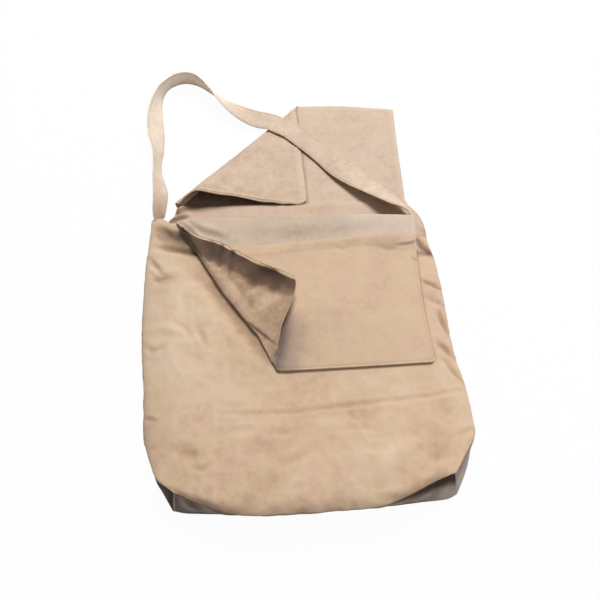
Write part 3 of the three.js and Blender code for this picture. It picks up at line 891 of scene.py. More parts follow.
    def face(self, u: Array, v: Array) -> Array:
        """Front cloth: rows from base to mouth, each a crown sqrt(1 - u^4) over the side edges."""
        share = (u + 1) / 2
        foot = profile(mix(self.FOOT[0][0], self.FOOT[-1][0], share), self.FOOT, self.FOOT_BLUR)
        mouth = self.mouth_s + np.where(u < 0, *self.corner_lift) * past(np.abs(u), 0.83, 0.1)
        s = mix(foot, mouth, v)
        (left, low), (right, high) = self.side_line(-1, v), self.side_line(1, v)
        roll = self.base_roll * np.maximum(1 - v * self.length / 15, 0) ** 2
        ridge = np.minimum(self.ridge(s), self.base_height) - roll
        return laid(mix(left, right, share), s, mix(mix(low, high, share), ridge, crown(u, 4)))

    def height(self, x: Array, s: Array) -> Array:
        """Height of the smooth front at a plan place above the boxed base."""
        over = crown(np.minimum(np.abs(x) / self.half_width, 1), 4)
        return mix(profile(s, self.SIDE_HEIGHTS[1]), self.ridge(s), over)

    def front_relief(self, cloth: ClothGrid) -> Array:
        """Folds, puckers along the seams and broad sags of the front cloth."""
        (x, s), (u, v) = cloth.plan(), cloth.spans()
        side, foot, run = (1 - np.abs(u)) * self.half_width, v * self.length, self.mouth_s - s
        pucker = crumple(s, np.sign(u) * 40 + x * 0.25, 17.0, 11)
        relief = added(self.CREASES, x, s) + 0.8 * np.exp(-side / 13.0) * pucker
        relief = relief + 0.5 * np.exp(-foot / 16.0) * crumple(x, s * 0.3, 19.0, 21)
        relief = relief + added(self.RIPPLES, x, s) * crown(u, 6)
        flap = past(s, -56, 12) * short(x + 0.1 * run, 186, 9) * past(x - 0.52 * run, -150, 16)
        hem = 1 - 0.85 * bell(side, 5.5)
        corners = eased(np.hypot(side, foot) / 14)
        return relief * short(v, 1, 0.05) * hem * corners * (1 - 0.9 * flap)

    def shade(self, x: Array, s: Array) -> Array:
        """Painted shade beside the flap's fold and along its right edge, and painted shadows in
        folds.
        """
        away = x - profile(s, self.FLAP_FOLD)
        beside = bell(away, profile(s, self.SHADE_WIDTH)) * past(s, -44, 12) * short(s, 185, 15)
        line = bell(x - profile(s, self.FLAP_EDGE) - 1.2, 1.5) * past(s, -38, 10)
        return 3.0 * beside + 3.0 * line + added(self.PAINTED_SHADE_MARKS, x, s)

    def build(self) -> None:
        """Makes the pouch's pieces and dresses them."""
        self.build_front()
        self.build_side(-1, "side_cloth_left")
        self.build_side(1, "side_cloth_right")
        self.build_base()

    def build_front(self) -> None:
        """The front cloth with its folds."""
        smooth = grid(self.face, spread(-1.0, 1.0, 209, 0.55), spread(0.0, 1.0, 195, 0.35))
        relief = self.front_relief(smooth)
        self.front = smooth.raised(relief)
        x, s = smooth.plan()
        # Painted shading: crests lighter, folds darker, painted shadows from shade(), slightly
        # darker overall, and painted light on the left and right.
        painted_shading = np.maximum(relief, -2.0) - self.shade(x, s) - 0.5
        painted_shading = painted_shading + 2.4 * short(x, -60, 90) * past(s, -90, 60) + 1.2 * past(x, 160, 20)
        flat = x, smooth.points[..., 1]
        piece = sheet_object("front_cloth", self.front, flat, self.thickness, painted_shading)
        dress(piece, self.wardrobe.cloth(CORDUROY))
        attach(piece, "pouch")
        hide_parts("front_panel")

    def build_side(self, side: int, name: str) -> None:
        """A puckered side wall from the floor up to the front cloth's side edge.

        Args:
            side: -1 for the left and 1 for the right.
            name: name of the piece.
        """
        box = self.box_share(side)
        rows = self.front.v >= box
        upper = self.front.points[rows, -(side > 0)] + [-side * self.side_tuck, 0, 0.2]
        share = (self.front.v[rows] - box) / (1 - box)
        s = mix(self.box_start_s, self.top_s(side), share)
        lower = laid(self.side_edge(side, s) - side * self.foot_tuck, s, self.thickness)
        if side < 0:
            upper, lower, s = upper[::-1], lower[::-1], s[::-1]
        wall = standing_wall(lower, upper, self.side_swell, self.SIDE_LEVELS)
        level = wall.v[:, None]
        pucker = crumple(s[None] + 500, level * 14 + 50 * side + 100, 13.0, 31)
        relief = 0.6 * np.sin(np.pi * level) ** 0.7 * pucker
        flat = level * self.side_depth, s[None]
        # The pucker relief is also the painted shading: crests lighter, folds darker.
        piece = sheet_object(name, wall.raised(relief), flat, self.thickness, relief)
        dress(piece, self.wardrobe.cloth(CORDUROY))
        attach(piece, "pouch")
        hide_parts("side_seam_left" if side < 0 else "side_seam_right")

    def build_base(self) -> None:
        """The boxed base: one strip round the foot with a sharp upright crease at each corner."""
        left = self.front.points[self.front.v < self.box_share(-1), 0][::-1]
        right = self.front.points[self.front.v < self.box_share(1), -1]
        upper = np.concatenate([left, self.front.points[0, 1:-1], right])
        across = np.linspace(-1, 1, self.front.points.shape[1])[1:-1] * self.back_corner_half
        lower = np.concatenate([
            self.foot_line(-1, np.linspace(1, 0, len(left))),
            laid(across, profile(across, self.FLOOR, self.FLOOR_BLUR), self.thickness),
            self.foot_line(1, np.linspace(0, 1, len(right))),
        ])
        upper = upper + unit(-upper * [1, 1, 0]) * self.base_tuck - [0, 0, 1.0]
        wall = standing_wall(lower, upper, self.base_swell, self.BASE_LEVELS)
        reach, level = walked(lower), wall.v[:, None]
        first, last = reach - reach[len(left)], reach - reach[-len(right) - 1]
        pinch, swell = np.minimum(np.abs(first), np.abs(last)), np.sin(np.pi * level)
        relief = 1.2 * swell * crumple(reach, level * 45, 29.0, 41)
        relief = relief + (0.9 * bell(pinch, 1.6) - 1.2 * bell(pinch, 9.0)) * swell
        flat = reach, level * self.base_depth
        # Painted shade in the base's creases, and painted light and shade by its corners.
        painted_shading = 2 * relief + self.painted_base_shading(first, last, level)
        piece = sheet_object("base_cloth", wall.raised(relief), flat, self.thickness, painted_shading)
        dress(piece, self.wardrobe.cloth(BASE_CLOTH))
        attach(piece, "pouch")
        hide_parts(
            "base_panel", "base_corner_left", "base_corner_right", "base_seam_allowance"
        )

    def painted_base_shading(self, first: Array, last: Array, level: Array) -> Array:
        """Painted light and shade on the base: lighter by both box corners, darker on the left
        facet and before the right corner.

        Args:
            first: distance from the left box corner, counted to the right.
            last: distance from the right box corner, counted to the right.
            level: share of the height.

        Returns:
            Painted light and shade to add to the relief's own.
        """
        pale = 2.6 * past(last, -75, 75) * (1.0 - level) - past(last, -90, 30) * level
        pale = pale + 1.8 * past(last, -38, 38) * (1.0 - 0.8 * level)
        pale = pale + 1.0 * (last > 0) + 2.0 * bell(last, 1.2)
        left_corner_shading = 1.7 * np.exp(-np.maximum(first, 0) / 24.0) * (first >= 0) * (1 - 0.6 * level)
        left_corner_shading = left_corner_shading - 2.4 * (first < 0) + 2.4 * bell(first, 1.2)
        shaded = 4.6 * past(last, -110, 30) * (last < 0) * past(level, 0.45, 0.45)
        return pale + left_corner_shading - shaded

    def foot_line(self, side: int, share: Array) -> Array:
        """Lower edge of a boxed corner, from the base's end (0) to the side (1)."""
        bulge = 4.0 - (3.8 * past(share, 0.3, 0.3) if side < 0 else 0.0)
        end = abs(float(self.side_edge(side, self.box_start_s))) - self.foot_tuck
        x = mix(self.back_corner_half, end, share) + bulge * np.sin(np.pi * share)
        s = mix(self.FLOOR[-(side > 0)][1], self.box_start_s, share)
        return laid(side * x, s, self.thickness)


@dataclass
class Cover:
    """Back cloth and cover flap in one sheet, and the corner that is folded over."""

    wardrobe: Wardrobe
    pouch: Pouch
    axis_s: float = 218.0
    root_s: float = 238.0
    root_right: float = 178.2
    tip_right: tuple[float, float] = (192.0, 430.0)
    fold_start: tuple[float, float] = (-168.0, 238.0)
    fold_end: tuple[float, float] = (34.0, 443.0)
    fold_normal: tuple[float, float] = (-0.7123, 0.7018)
    corner_tip: tuple[float, float] = (31.0, 234.0)
    blunt: float = 7.0
    thickness: float = 1.4
    hem: float = 9.0
    hem_length: float = 203.0
    roll_share: float = 0.14

    LEFT_EDGE = [
        (-198, -161), (-124, -192.6), (-41, -198), (30, -202), (66, -202), (125, -200.5),
        (178, -195.8), (203, -193.5), (212, -175), (222, -169.5),
    ]
    RIGHT_EDGE = [
        (-198, 161), (-124, 192.6), (-76, 195.8), (-56, 195.4), (-10, 191.6), (44, 194),
        (78, 195.8), (130, 195.4), (158, 192), (200, 188), (206, 187), (214, 184.5), (224, 181),
    ]
    SWELL = [
        (-176, 0), (-150, 0), (-130, 0.6), (-110, 2.2), (-90, 4.4), (-70, 5.6), (-45, 5.2),
        (-20, 3.4), (5, 1.8), (40, 1.2), (110, 3), (178, 2),
    ]
    WAVES = [Ripple(1.5, 62.0, 51, 400), Ripple(0.35, 25.0, 53, 400, True)]
    ROOT = folds(
        (((-173, 212), (-160, 217), (-146, 224)), 4.2, 9.0),
        (((-172, 200), (-156, 203), (-138, 207)), 4.2, 6.5),
        (((-170, 224), (-158, 231), (-146, 237)), 4.2, 9.0),
        shoulder=0.5,
    )
    # Painted shade lines in the root's crumples.
    ROOT_SHADE_LINES = folds(
        (((-174, 230), (-160, 225), (-144, 221)), 2.4, 4.5),
        (((-178, 209), (-164, 216), (-148, 219)), 2.4, 5.0),
        shoulder=0.0,
    )
    ARCH = [
        (-163, 15), (-151, 28), (-139, 40), (-131, 45.5), (-123, 44.5), (-112, 39), (-92, 32),
        (-77, 28.5), (-53, 20), (-38, 14.5), (-16, 10), (6, 7.2), (31, 5.6),
    ]
    STITCH_DEPTHS = (0.012, 0.042)

    def fold_ahead(self) -> Array:
        """Plan direction of the fold."""
        return unit(np.subtract(self.fold_end, self.fold_start))

    def fold_radius(self, v: Array) -> Array:
        """Radius of the roll at the fold, wide at the hem and nearly pressed at the far end."""
        return mix(7.0, 1.7, eased(np.sqrt(np.clip(v, 0, 1)) * 1.1))

    def fold_line(self, v: Array) -> tuple[Array, Array]:
        """Plan places of the fold, drawn in by its radius so that the roll meets the line."""
        ahead, radius = self.fold_ahead(), self.fold_radius(v)
        (start_x, start_s), (end_x, end_s) = self.fold_start, self.fold_end
        x = mix(start_x, end_x, v) + ahead[1] * radius + 4.5 * np.exp(-12.0 * v)
        return x, mix(start_s, end_s, v) - ahead[0] * radius

    def behind(self, x: Array, s: Array) -> Array:
        """Distance of plan places from the fold, counted towards the sheet."""
        ahead = self.fold_ahead()
        return (x - self.fold_start[0]) * ahead[1] - (s - self.fold_start[1]) * ahead[0]

    def lower_rows(self, u: Array, v: Array) -> Array:
        """The sheet from the base edge to the fold's start, with its outline's width per row."""
        base_s, (fold_x, fold_s) = self.pouch.back_base_s, self.fold_line(0.0)
        s = mix(base_s, self.root_s, v)
        left = profile(s, [*self.LEFT_EDGE, (self.root_s, fold_x)])
        x = mix(left, profile(s, [*self.RIGHT_EDGE, (self.root_s, self.root_right)]), u)
        drawn = mix(fold_s, self.root_s, u) - self.root_s
        foot = profile(x, self.pouch.FLOOR, self.pouch.FLOOR_BLUR) + 1.5 - base_s
        foot = foot * np.maximum(1 - (s - base_s) / 60, 0)
        return self.settled(x, s + drawn * past(v, 0.9, 0.1) + foot)

    def upper_rows(self, u: Array, v: Array) -> Array:
        """The cover beyond the fold's start: rows turn from level to the slope of the far edge."""
        left_x, left_s = self.fold_line(v)
        x = mix(left_x, mix(self.root_right, self.tip_right[0], v**1.15), u)
        s = mix(left_s, mix(self.root_s, self.tip_right[1], v), u)
        return self.settled(x, s + 4.5 * np.sin(np.pi * u) * v**6)

    def settled(self, x: Array, s: Array) -> Array:
        """Height of the sheet: flat under the pouch, swollen at the root, in low waves beyond."""
        wave = past(s, 214, 30) * (1.6 + added(self.WAVES, x, s))
        swell = profile(x, self.SWELL, 15.0) * past(s, 196, 20) * short(s, 243, 12)
        under = past(self.behind(x, s), -6, 6) * short(x, 30, 14) * past(s, 236, 8)
        rise = np.maximum(wave, 0) * (1 - 0.95 * under) + swell
        rise = rise + np.maximum(added(self.ROOT, x, s), 0)
        return laid(x, s, self.thickness + 0.1 + rise)

    def hem_relief(self, x: Array, s: Array) -> Array:
        """Double cloth along the right and far edges, and the dip of the stitch line."""
        right = np.interp(s, [218, 309, 430], [177, 183, 192]) - x
        far = np.interp(x, [34, 191], [443, 431]) + 3.0 - s
        return hemmed(np.where(s > 222, np.minimum(right, far), 99.0), self.hem)

    def build(self) -> None:
        """Makes the sheet and the folded corner."""
        self.build_sheet()
        self.build_corner()

    def build_sheet(self) -> None:
        """The back cloth and the open cover flap."""
        u = spread(0.0, 1.0, 150, 0.3)
        low = grid(self.lower_rows, u, spread(0.0, 1.0, 170))
        high = grid(self.upper_rows, u, spread(0.0, 1.0, 90, 0.2)[1:])
        rows = np.concatenate([low.points, high.points])
        cloth = ClothGrid(u, np.linspace(0, 1, len(rows)), rows)
        x, s = cloth.plan()
        relief = self.hem_relief(x, s)
        # Painted shadow in the gap under the folded corner's hem, painted shade in the root's
        # crumples and painted highlight on the hems.
        inside = past(s, 232 - 4.0 * bell(x + 137, 16), 7) * eased(self.behind(x, s) / 8)
        painted_shading = 2 * relief - 9 * inside * short(x, 38, 14) - added(self.ROOT_SHADE_LINES, x, s)
        flat, cloth = (x, s), cloth.raised(relief)
        piece = sheet_object("back_and_cover_cloth", cloth, flat, self.thickness, painted_shading)
        dress(piece, self.wardrobe.cloth(COOL_LIT_CLOTH))
        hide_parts("back_panel", "cover_flap")
        start, end = laid(0.0, self.axis_s - 12, 0.8) * MM, laid(0.0, self.axis_s + 14, 0.8) * MM
        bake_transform(piece)

    def corner_face(self, u: Array, v: Array) -> Array:
        """The folded corner over its fold.

        Beyond the roll the cloth runs straight in plan to the free edge, at the larger of
        2 r (1 - t)^2.4 + seat and the hem's own arch, which fades as (1 - v)^2 from the hem and
        leans back by 0.3 of its height.
        """
        radius = self.fold_radius(v)
        (fold_x, fold_s), (tip_x, tip_s) = self.fold_line(v), self.corner_tip
        out, up, t = rolled(u, self.roll_share, radius)
        x = mix(fold_x, tip_x, t) + self.fold_normal[0] * out
        s = mix(fold_s, mix(tip_s, self.fold_end[1] - self.blunt, v), t) + self.fold_normal[1] * out
        sheet = 1.6 + self.thickness
        seat = sheet + self.thickness + 0.4
        arch = profile(mix(self.fold_line(0.0)[0], tip_x, t), self.ARCH, 3.5) - seat
        arch = np.maximum(arch, 0) * (1 - v) ** 2.0 * eased(t / 0.04)
        s = s + 0.3 * arch
        plain = seat + (2 * radius - 2.0) * (1 - t) ** 2.4
        wave = 1.5 * (1 - v) * np.sin(np.pi * t) + 1.4 * drift(x + 900, s + 900, 48.0, 61) * t
        top = np.maximum(plain, seat + 0.625 * arch) + wave
        z = np.where(u < self.roll_share, sheet - 1.4 + up, np.maximum(top, seat - 0.1))
        wave = 1.3 * np.sin(x / 6.2 + 2 * np.sin(x / 19)) * np.exp(-v * 24) * past(x, -115, 30)
        round_off = 3.2 * np.exp(-((1 - u) * 30) - v * 34)
        return laid(x - round_off, s + round_off, z + wave * t)

    def build_corner(self) -> None:
        """The folded corner with its hem and stitch lines."""
        u = roll_columns(self.roll_share, 96)
        smooth = grid(self.corner_face, u, spread(0.0, 1.0, 110, 0.35))
        across, along = smooth.spans()
        hem_side, free_side = along * self.hem_length, (1 - across) * smooth.widths()
        relief = hemmed(hem_side, self.hem) + hemmed(free_side, self.hem)
        x, y, _ = np.moveaxis(smooth.points, -1, 0)
        relief = relief + 0.3 * crumple(x + 700, y, 17.0, 63)
        cloth = smooth.raised(relief)
        x, s = cloth.plan()
        # Painted highlight on the hems, painted shade near the hem and slightly over the whole
        # corner, and a painted shadow line along the turned hem's wavy edge.
        turned = hem_side + 0.5 * np.sin(x / 5.0 + 2 * np.sin(x / 13))
        line = bell(turned - 3.4, 0.9) * short(x, 10, 30)
        painted_shading = 2 * relief - 0.6 - 2.0 * np.exp(-hem_side / 14.0) - 6.0 * line
        piece = sheet_object("cover_folded_corner", cloth, (s, x), self.thickness, painted_shading)
        dress(piece, self.wardrobe.cloth(COOL_LIT_CLOTH))
        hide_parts("cover_flap_folded_corner", "cover_flap_corner_hem")
        across = np.linspace(0.1, 0.985, STITCH_PLACES)
        runs = [stitch_run(cloth, across, depth) for depth in self.STITCH_DEPTHS]
        thread = self.wardrobe.sewn("cover_corner_stitches", runs)
        for made in (piece, thread):
            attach(made, "cover_flap")
            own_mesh(made)


@dataclass
class PocketFlap:
    """Flap that comes out of the front of the mouth and is turned down over the front."""

    wardrobe: Wardrobe
    pouch: Pouch
    length: float = 233.0
    right_x: float = 178.5
    fold_end_x: float = -35.0
    roll: float = 3.0
    thickness: float = 1.4
    pocket_left_s: float = 142.0
    pocket_rise: float = 16.0
    pocket_length: float = 190.0
    pocket_seat: float = 0.35
    pocket_puff: float = 2.6
    corner_stitch_inset: float = 3.4
    roll_share: float = 0.16
    band: ClothGrid = field(init=False)

    RIGHT_EDGE = [
        (0, 178.5), (28, 175.8), (82, 169.2), (126, 165), (156, 163.2), (185, 162.6), (233, 162.8)
    ]
    FOLD = [(0, -158), (60, -126.5), (120, -95.5), (160, -70), (184, -54), (210, -43), (233, -35)]
    SLANT = [(-35, -1.5), (30, 0.3), (70, 1.2), (118, 3.2), (162, 6.0)]
    BAND_FOLDS = folds(
        (((16, 196), (17.5, 178)), 1.6, -0.9),
        (((-140, 184), (-118, 168), (-92, 158)), 5.0, -1.6),
        (((-148, 190), (-136, 176), (-120, 160)), 3.0, 1.6),
        (((-70, 166), (-10, 160), (60, 164), (150, 172)), 9.0, -0.9),
    )
    # Painted shade lines, and one painted light line, in the band's crumples.
    BAND_SHADE_LINES = folds(
        (((-146, 185), (-138, 178), (-128, 166)), 2.6, 3.0),
        (((-120, 176), (-104, 168), (-84, 154)), 4.0, 1.8),
        (((-130, 184), (-110, 180), (-90, 172)), 4.0, -2.0),
        shoulder=0.0,
    )
    POCKET_WAVES = [Ripple(0.7, 44.0, 81, 50), Ripple(0.25, 19.0, 83, 50, True)]
    POCKET_FOLDS = folds(
        (((142, 137), (160, 140), (176, 145)), 2.2, -1.8),
        (((118, 136), (132, 131), (144, 134)), 3.5, -1.2),
        (((160, 119), (168, 114), (176, 110)), 2.2, -1.6),
        (((55, 138), (75, 128)), 3.5, -0.7),
        (((-20, 60), (-22, 20), (-30, -20)), 9.0, -1.2),
    )
    # Painted shade below the pocket's hem.
    POCKET_SHADE_LINES = folds(
        (((108, 139), (140, 135), (178, 143)), 8.0, 1.8),
        (((-30, 133), (60, 141), (182, 150)), 6.0, 2.0),
        shoulder=0.0,
    )
    CORNER_FOLDS = folds(
        (((-94, 136), (-95, 124), (-100, 108)), 4.4, -3.2, 0.2),
        (((-80, 128), (-81, 114), (-85, 96)), 4.0, -3.0, 0.2),
        (((-112, 144), (-108, 128), (-107, 112)), 8.0, -3.0, 0.1),
        (((-90, 112), (-76, 96), (-58, 92)), 7.0, 1.8),
        (((-70, 28), (-50, 8), (-32, -11)), 2.6, -0.4, 0.0),
        (((-48, 100), (-30, 80), (-22, 60)), 9.0, -1.8),
        (((-70, 70), (-40, 84), (-16, 84)), 8.0, -2.0),
        (((-60, 30), (-36, 52), (-14, 62)), 7.0, 1.6),
        (((-110, 110), (-80, 60), (-58, 20)), 7.0, 1.4),
    )
    # A painted shadow line along a shallow crease of the folded corner.
    CREASE_SHADOW = Crease(((-72, 30), (-50, 8), (-28, -15)), 1.8, 3.0, 0.0)
    CORNER_RADIUS = [(0, 0.7), (0.25, 1.9), (0.5, 3.2), (0.7, 3.8), (0.88, 3.4), (1, 2.2)]
    FREE = [
        (-1.4, 76.0, 57.0), (-24.0, 90.0, 56.5), (-48.0, 102.5, 55.5), (-72.0, 119.5, 53.5),
        (-98.0, 139.0, 50.0), (-129.0, 155.0, 44.0), (-155.0, 181.0, 38.0),
    ]
    LOWER_EDGE = [
        (-36.5, -34.0, 40.0), (-32.0, -21.0, 41.5), (-28.8, -6.8, 43.0), (-24.6, 8.7, 45.0),
        (-18.5, 23.0, 47.5), (-9.1, 41.0, 51.0), (-2.2, 61.0, 55.0), (-1.4, 76.0, 57.0),
    ]

    def right(self, run: Array) -> Array:
        """Place of the right edge at a distance from the mouth: leaning in, then straighter."""
        return profile(run, self.RIGHT_EDGE)

    def left(self, run: Array) -> Array:
        """Place of the fold: straight, then steeper over its last sixth, eased between."""
        return profile(run, self.FOLD)

    def slant(self, x: Array, run: Array) -> Array:
        """How much nearer the mouth the flap ends towards its right side."""
        return profile(x, self.SLANT) * (np.maximum(run, 0) / self.length) ** 2

    def top(self, x: Array, run: Array) -> Array:
        """Height of the flap: over the front with a gap that closes as the roll is left behind."""
        s = self.pouch.mouth_s - run
        hover = mix(2 * self.roll + 0.3, 1.7, eased(run / 60.0))
        wave = 0.7 * drift(x + 500, s + 500, 58.0, 71) * eased(run / 40)
        return self.pouch.height(x * 0.985, s) + hover + np.maximum(wave, -0.2)

    def blunted(self, x: Array, s: Array) -> Array:
        """Shift that rounds the two lower corners: 5 mm up at each side, gone 6 mm further in."""
        low = np.maximum(1 - (s - self.pouch.mouth_s + self.length + 0.6) / 22, 0)
        right, left = self.right(self.length) - x, x - self.fold_end_x - 0.6
        near = np.clip((6 - np.minimum(right, left)) / 6, 0, 1)
        return 5.0 * low * (1 - crown(near, 2))

    def face(self, u: Array, v: Array) -> Array:
        """Flap from the mouth: a half round roll for v below 0, then down over the front."""
        angle = np.pi * (0.5 + np.minimum(v, 0))
        run = self.length * np.maximum(v, 0)
        x = mix(self.right(run), self.left(run), u)
        beyond = self.roll * np.cos(angle) * (v < 0)
        drop = self.roll * (1 - np.sin(angle)) * (v < 0)
        s = self.pouch.mouth_s - run + beyond + self.slant(x, run)
        ripple = 0.5 * drift(x + 200, 3.0, 35.0, 73) * past(v, -1, 0.5)
        s = s + 1.2 * self.blunted(x, s) * (v > 0.5)
        return laid(x, s, self.top(x, run) - drop + ripple)

    def pocket_top(self, x: Array) -> Array:
        """Place of the pocket's upper edge, which climbs to the right."""
        share = (x - self.fold_end_x) / (self.right_x - self.fold_end_x)
        return self.pocket_left_s + self.pocket_rise * np.maximum(share, 0)

    def build(self) -> None:
        """Makes the band, the hidden part of the flap, the pocket and the folded corner."""
        self.build_band()
        self.build_flap()
        self.build_pocket()
        self.build_corner()

    def band_relief(self, x: Array, run: Array) -> Array:
        """Side hem of the band, its pressed centre line and the soft dents by the folded corner."""
        s = self.pouch.mouth_s - run
        relief = hemmed(self.right(run) - x, 8.0) + added(self.BAND_FOLDS, x, s)
        return relief + 0.15 * crumple(x + 100, s + 100, 16.0, 75)

    def build_band(self) -> None:
        """The roll over the mouth edge and the plain band down to the pocket's mouth."""
        v = np.concatenate([np.linspace(-1, 0, 16)[:-1], np.linspace(0, 0.25, 40)])
        smooth = grid(self.face, spread(0.0, 1.0, 170, 0.3), v)
        (x, s), (_, along) = smooth.plan(), smooth.spans()
        relief = self.band_relief(x, self.length * np.maximum(along, 0)) * past(along, -1, 0.4)
        self.band = smooth.raised(relief)
        # Painted shading: crests lighter, painted light towards the right and painted shade and
        # light lines in the crumples.
        painted_shading = relief + 2.4 * past(x, 50, 90) - added(self.BAND_SHADE_LINES, x, s)
        flat = x, along * self.length
        piece = sheet_object("pocket_flap_band", self.band, flat, self.thickness, painted_shading)
        dress(piece, self.wardrobe.cloth(CORDUROY_BACK))
        laid(0.0, 191.5, 27.5) * MM
        laid(0.0, 185.5, 34.0) * MM
        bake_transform(piece)
        run = stitch_run(self.band, 0.019, np.linspace(0.005, 0.17, 60))
        thread = self.wardrobe.sewn("band_side_stitches", [run])
        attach(thread, "pocket_flap")

    def build_flap(self) -> None:
        """The lower flap cloth, which the pocket and the folded corner mostly cover."""
        cloth = grid(self.face, spread(0.0, 1.0, 120, 0.3), np.linspace(0.25, 1.0, 90))
        u, v = cloth.spans()
        cloth.points[..., 0] += 4.0 * u**20 * past(v, 0.92, 0.03)
        flat = cloth.points[..., 0], cloth.points[..., 1]
        piece = sheet_object("pocket_flap_cloth", cloth, flat, self.thickness, 0 * u)
        dress(piece, self.wardrobe.cloth(CORDUROY_BACK))
        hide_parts("pocket_flap")
        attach(piece, "pocket_flap")

    def pocket_face(self, u: Array, v: Array) -> Array:
        """Pocket cloth: flap's height and a puff sin(pi u)^0.6, by a quarter sine from the foot."""
        run_low = self.length + 0.6
        run = mix(run_low, self.pouch.mouth_s - self.pocket_left_s, v)
        inset = 3.0 - 2.4 * past(run, 210, 14)
        x = mix(self.left(run) + inset, self.right(run) + 0.5, u)
        s = mix(self.pouch.mouth_s - run_low, self.pocket_top(x), v)
        s = s + self.blunted(x, s) + self.slant(x, run)
        puff = np.maximum(np.sin(np.pi * u), 0) ** 0.6 * np.sin(np.pi / 2 * np.minimum(3 * v, 1))
        puff = (self.pocket_puff + added(self.POCKET_WAVES, x, s)) * puff
        seat = self.top(x, self.pouch.mouth_s - s) + self.thickness + self.pocket_seat
        return laid(x, s, seat + puff)

    def build_pocket(self) -> None:
        """The pocket with its mouth hem, its edge seams and their stitches."""
        smooth = grid(self.pocket_face, spread(0.0, 1.0, 130, 0.4), spread(0.0, 1.0, 120, 0.35))
        (across, along), (x, s) = smooth.spans(), smooth.plan()
        mouth = (1 - along) * (self.pocket_top(x) - self.pouch.mouth_s + self.length)
        side = np.minimum((1 - across) * (x[:, -1:] - x[:, :1]), along * self.pocket_length)
        relief = hemmed(mouth, 15.0) - 0.5 * bell(side - 3.2, 0.9)
        relief = relief + added(self.POCKET_FOLDS, x, s)
        cloth = smooth.raised(relief)
        # Painted grey shadow on the pocket beside the folded corner's lower edge, and painted shade
        # below the pocket's hem.
        low = [(place, edge) for edge, place, _ in self.LOWER_EDGE[:6]]
        away = x - profile(s, low)
        dim = 0.6 * bell(away, 12.0) + 0.4 * bell(away, 33.0)
        dim = 10.5 * dim * short(s, 48, 48) * mix(0.6, 1.0, eased(away / 4))
        painted_shading = relief - dim - added(self.POCKET_SHADE_LINES, x, s)
        piece = sheet_object("pocket_cloth", cloth, (x, s), self.thickness, painted_shading)
        dress(piece, self.wardrobe.cloth(GREY_SHADE_POCKET_CLOTH))
        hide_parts("pocket_front", "pocket_mouth_hem")
        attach(piece, "pocket_flap")
        lanes = [
            (np.linspace(0.4, 0.985, STITCH_PLACES), 1 - 13.2 / 188.0),
            (np.linspace(0.01, 0.985, STITCH_PLACES), 0.017),
            (0.985, np.linspace(0.017, 0.99, STITCH_PLACES)),
        ]
        thread = self.wardrobe.sewn("pocket_stitches", [stitch_run(cloth, *lane) for lane in lanes])
        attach(thread, "pocket_flap")

    def corner_face(self, u: Array, v: Array) -> Array:
        """The folded corner of the flap.

        Beyond its roll the cloth runs to the hem's line, stays low, stands up steeply over the last
        20 mm and lies level for the hem's own 2 mm: 0.74 (1 - d/20)^1.25 + 0.26 (1 - d/60)^1.3 at a
        distance d. Near the flap's lower edge the rows bend towards that edge's own line.
        """
        run = self.length * mix(0.957, 0.03, v)
        radius = profile(v, self.CORNER_RADIUS, 0.05)
        fold_x, fold_s = self.left(run) + radius * 0.85, self.pouch.mouth_s - run
        out, up, t = rolled(u, self.roll_share, radius)
        free, edge = through(self.FREE, v), through(self.LOWER_EDGE, t)
        near = (1 - v) ** 9 * eased(t / 0.2)
        reach = np.maximum(np.hypot(free[..., 0] - fold_x, free[..., 1] - fold_s), 8.0)
        steep, gentle = (np.clip(1 - ((1 - t) * reach - 2.8) / span, 0, 1) for span in (20, 60))
        drop = 0.74 * steep**1.25 + 0.26 * gentle**1.3
        x = mix(mix(fold_x, free[..., 0], t), edge[..., 0], near) - 0.88 * out
        s = mix(mix(fold_s, free[..., 1], t), edge[..., 1], near) - 0.46 * out
        base = self.top(x, self.pouch.mouth_s - s)
        stand = mix(base + 2 * radius, np.maximum(free[..., 2], base + 3), np.clip(drop, 0, 1))
        stand = mix(stand, edge[..., 2], near) + 1.6 * np.sin(np.pi * t) * np.sin(np.pi * v)
        floor = base + self.thickness + 0.5 + 3.2 * past(t, 0.1, 0.3)
        return laid(x, s, np.where(u < self.roll_share, base + up, np.maximum(stand, floor)))

    def build_corner(self) -> None:
        """The folded corner with its standing, puckered hem."""
        u = roll_columns(self.roll_share, 104)
        smooth = grid(self.corner_face, u, spread(0.0, 1.0, 170, 0.25))
        (across, along), (x, s), widths = smooth.spans(), smooth.plan(), smooth.widths()
        edge = (1 - across) * widths
        gather = np.sin(along * 95 + 3 * np.sin(along * 21)) * np.exp(-edge / 9.0) * (along > 0.12)
        relief = 0.9 * bell(edge, 1.8) + 0.48 * gather + added(self.CORNER_FOLDS, x, s)
        relief = relief + 0.35 * crumple(x + 600, s + 600, 15.0, 91)
        relief = relief * eased(across / 0.25)
        cloth = smooth.raised(relief)
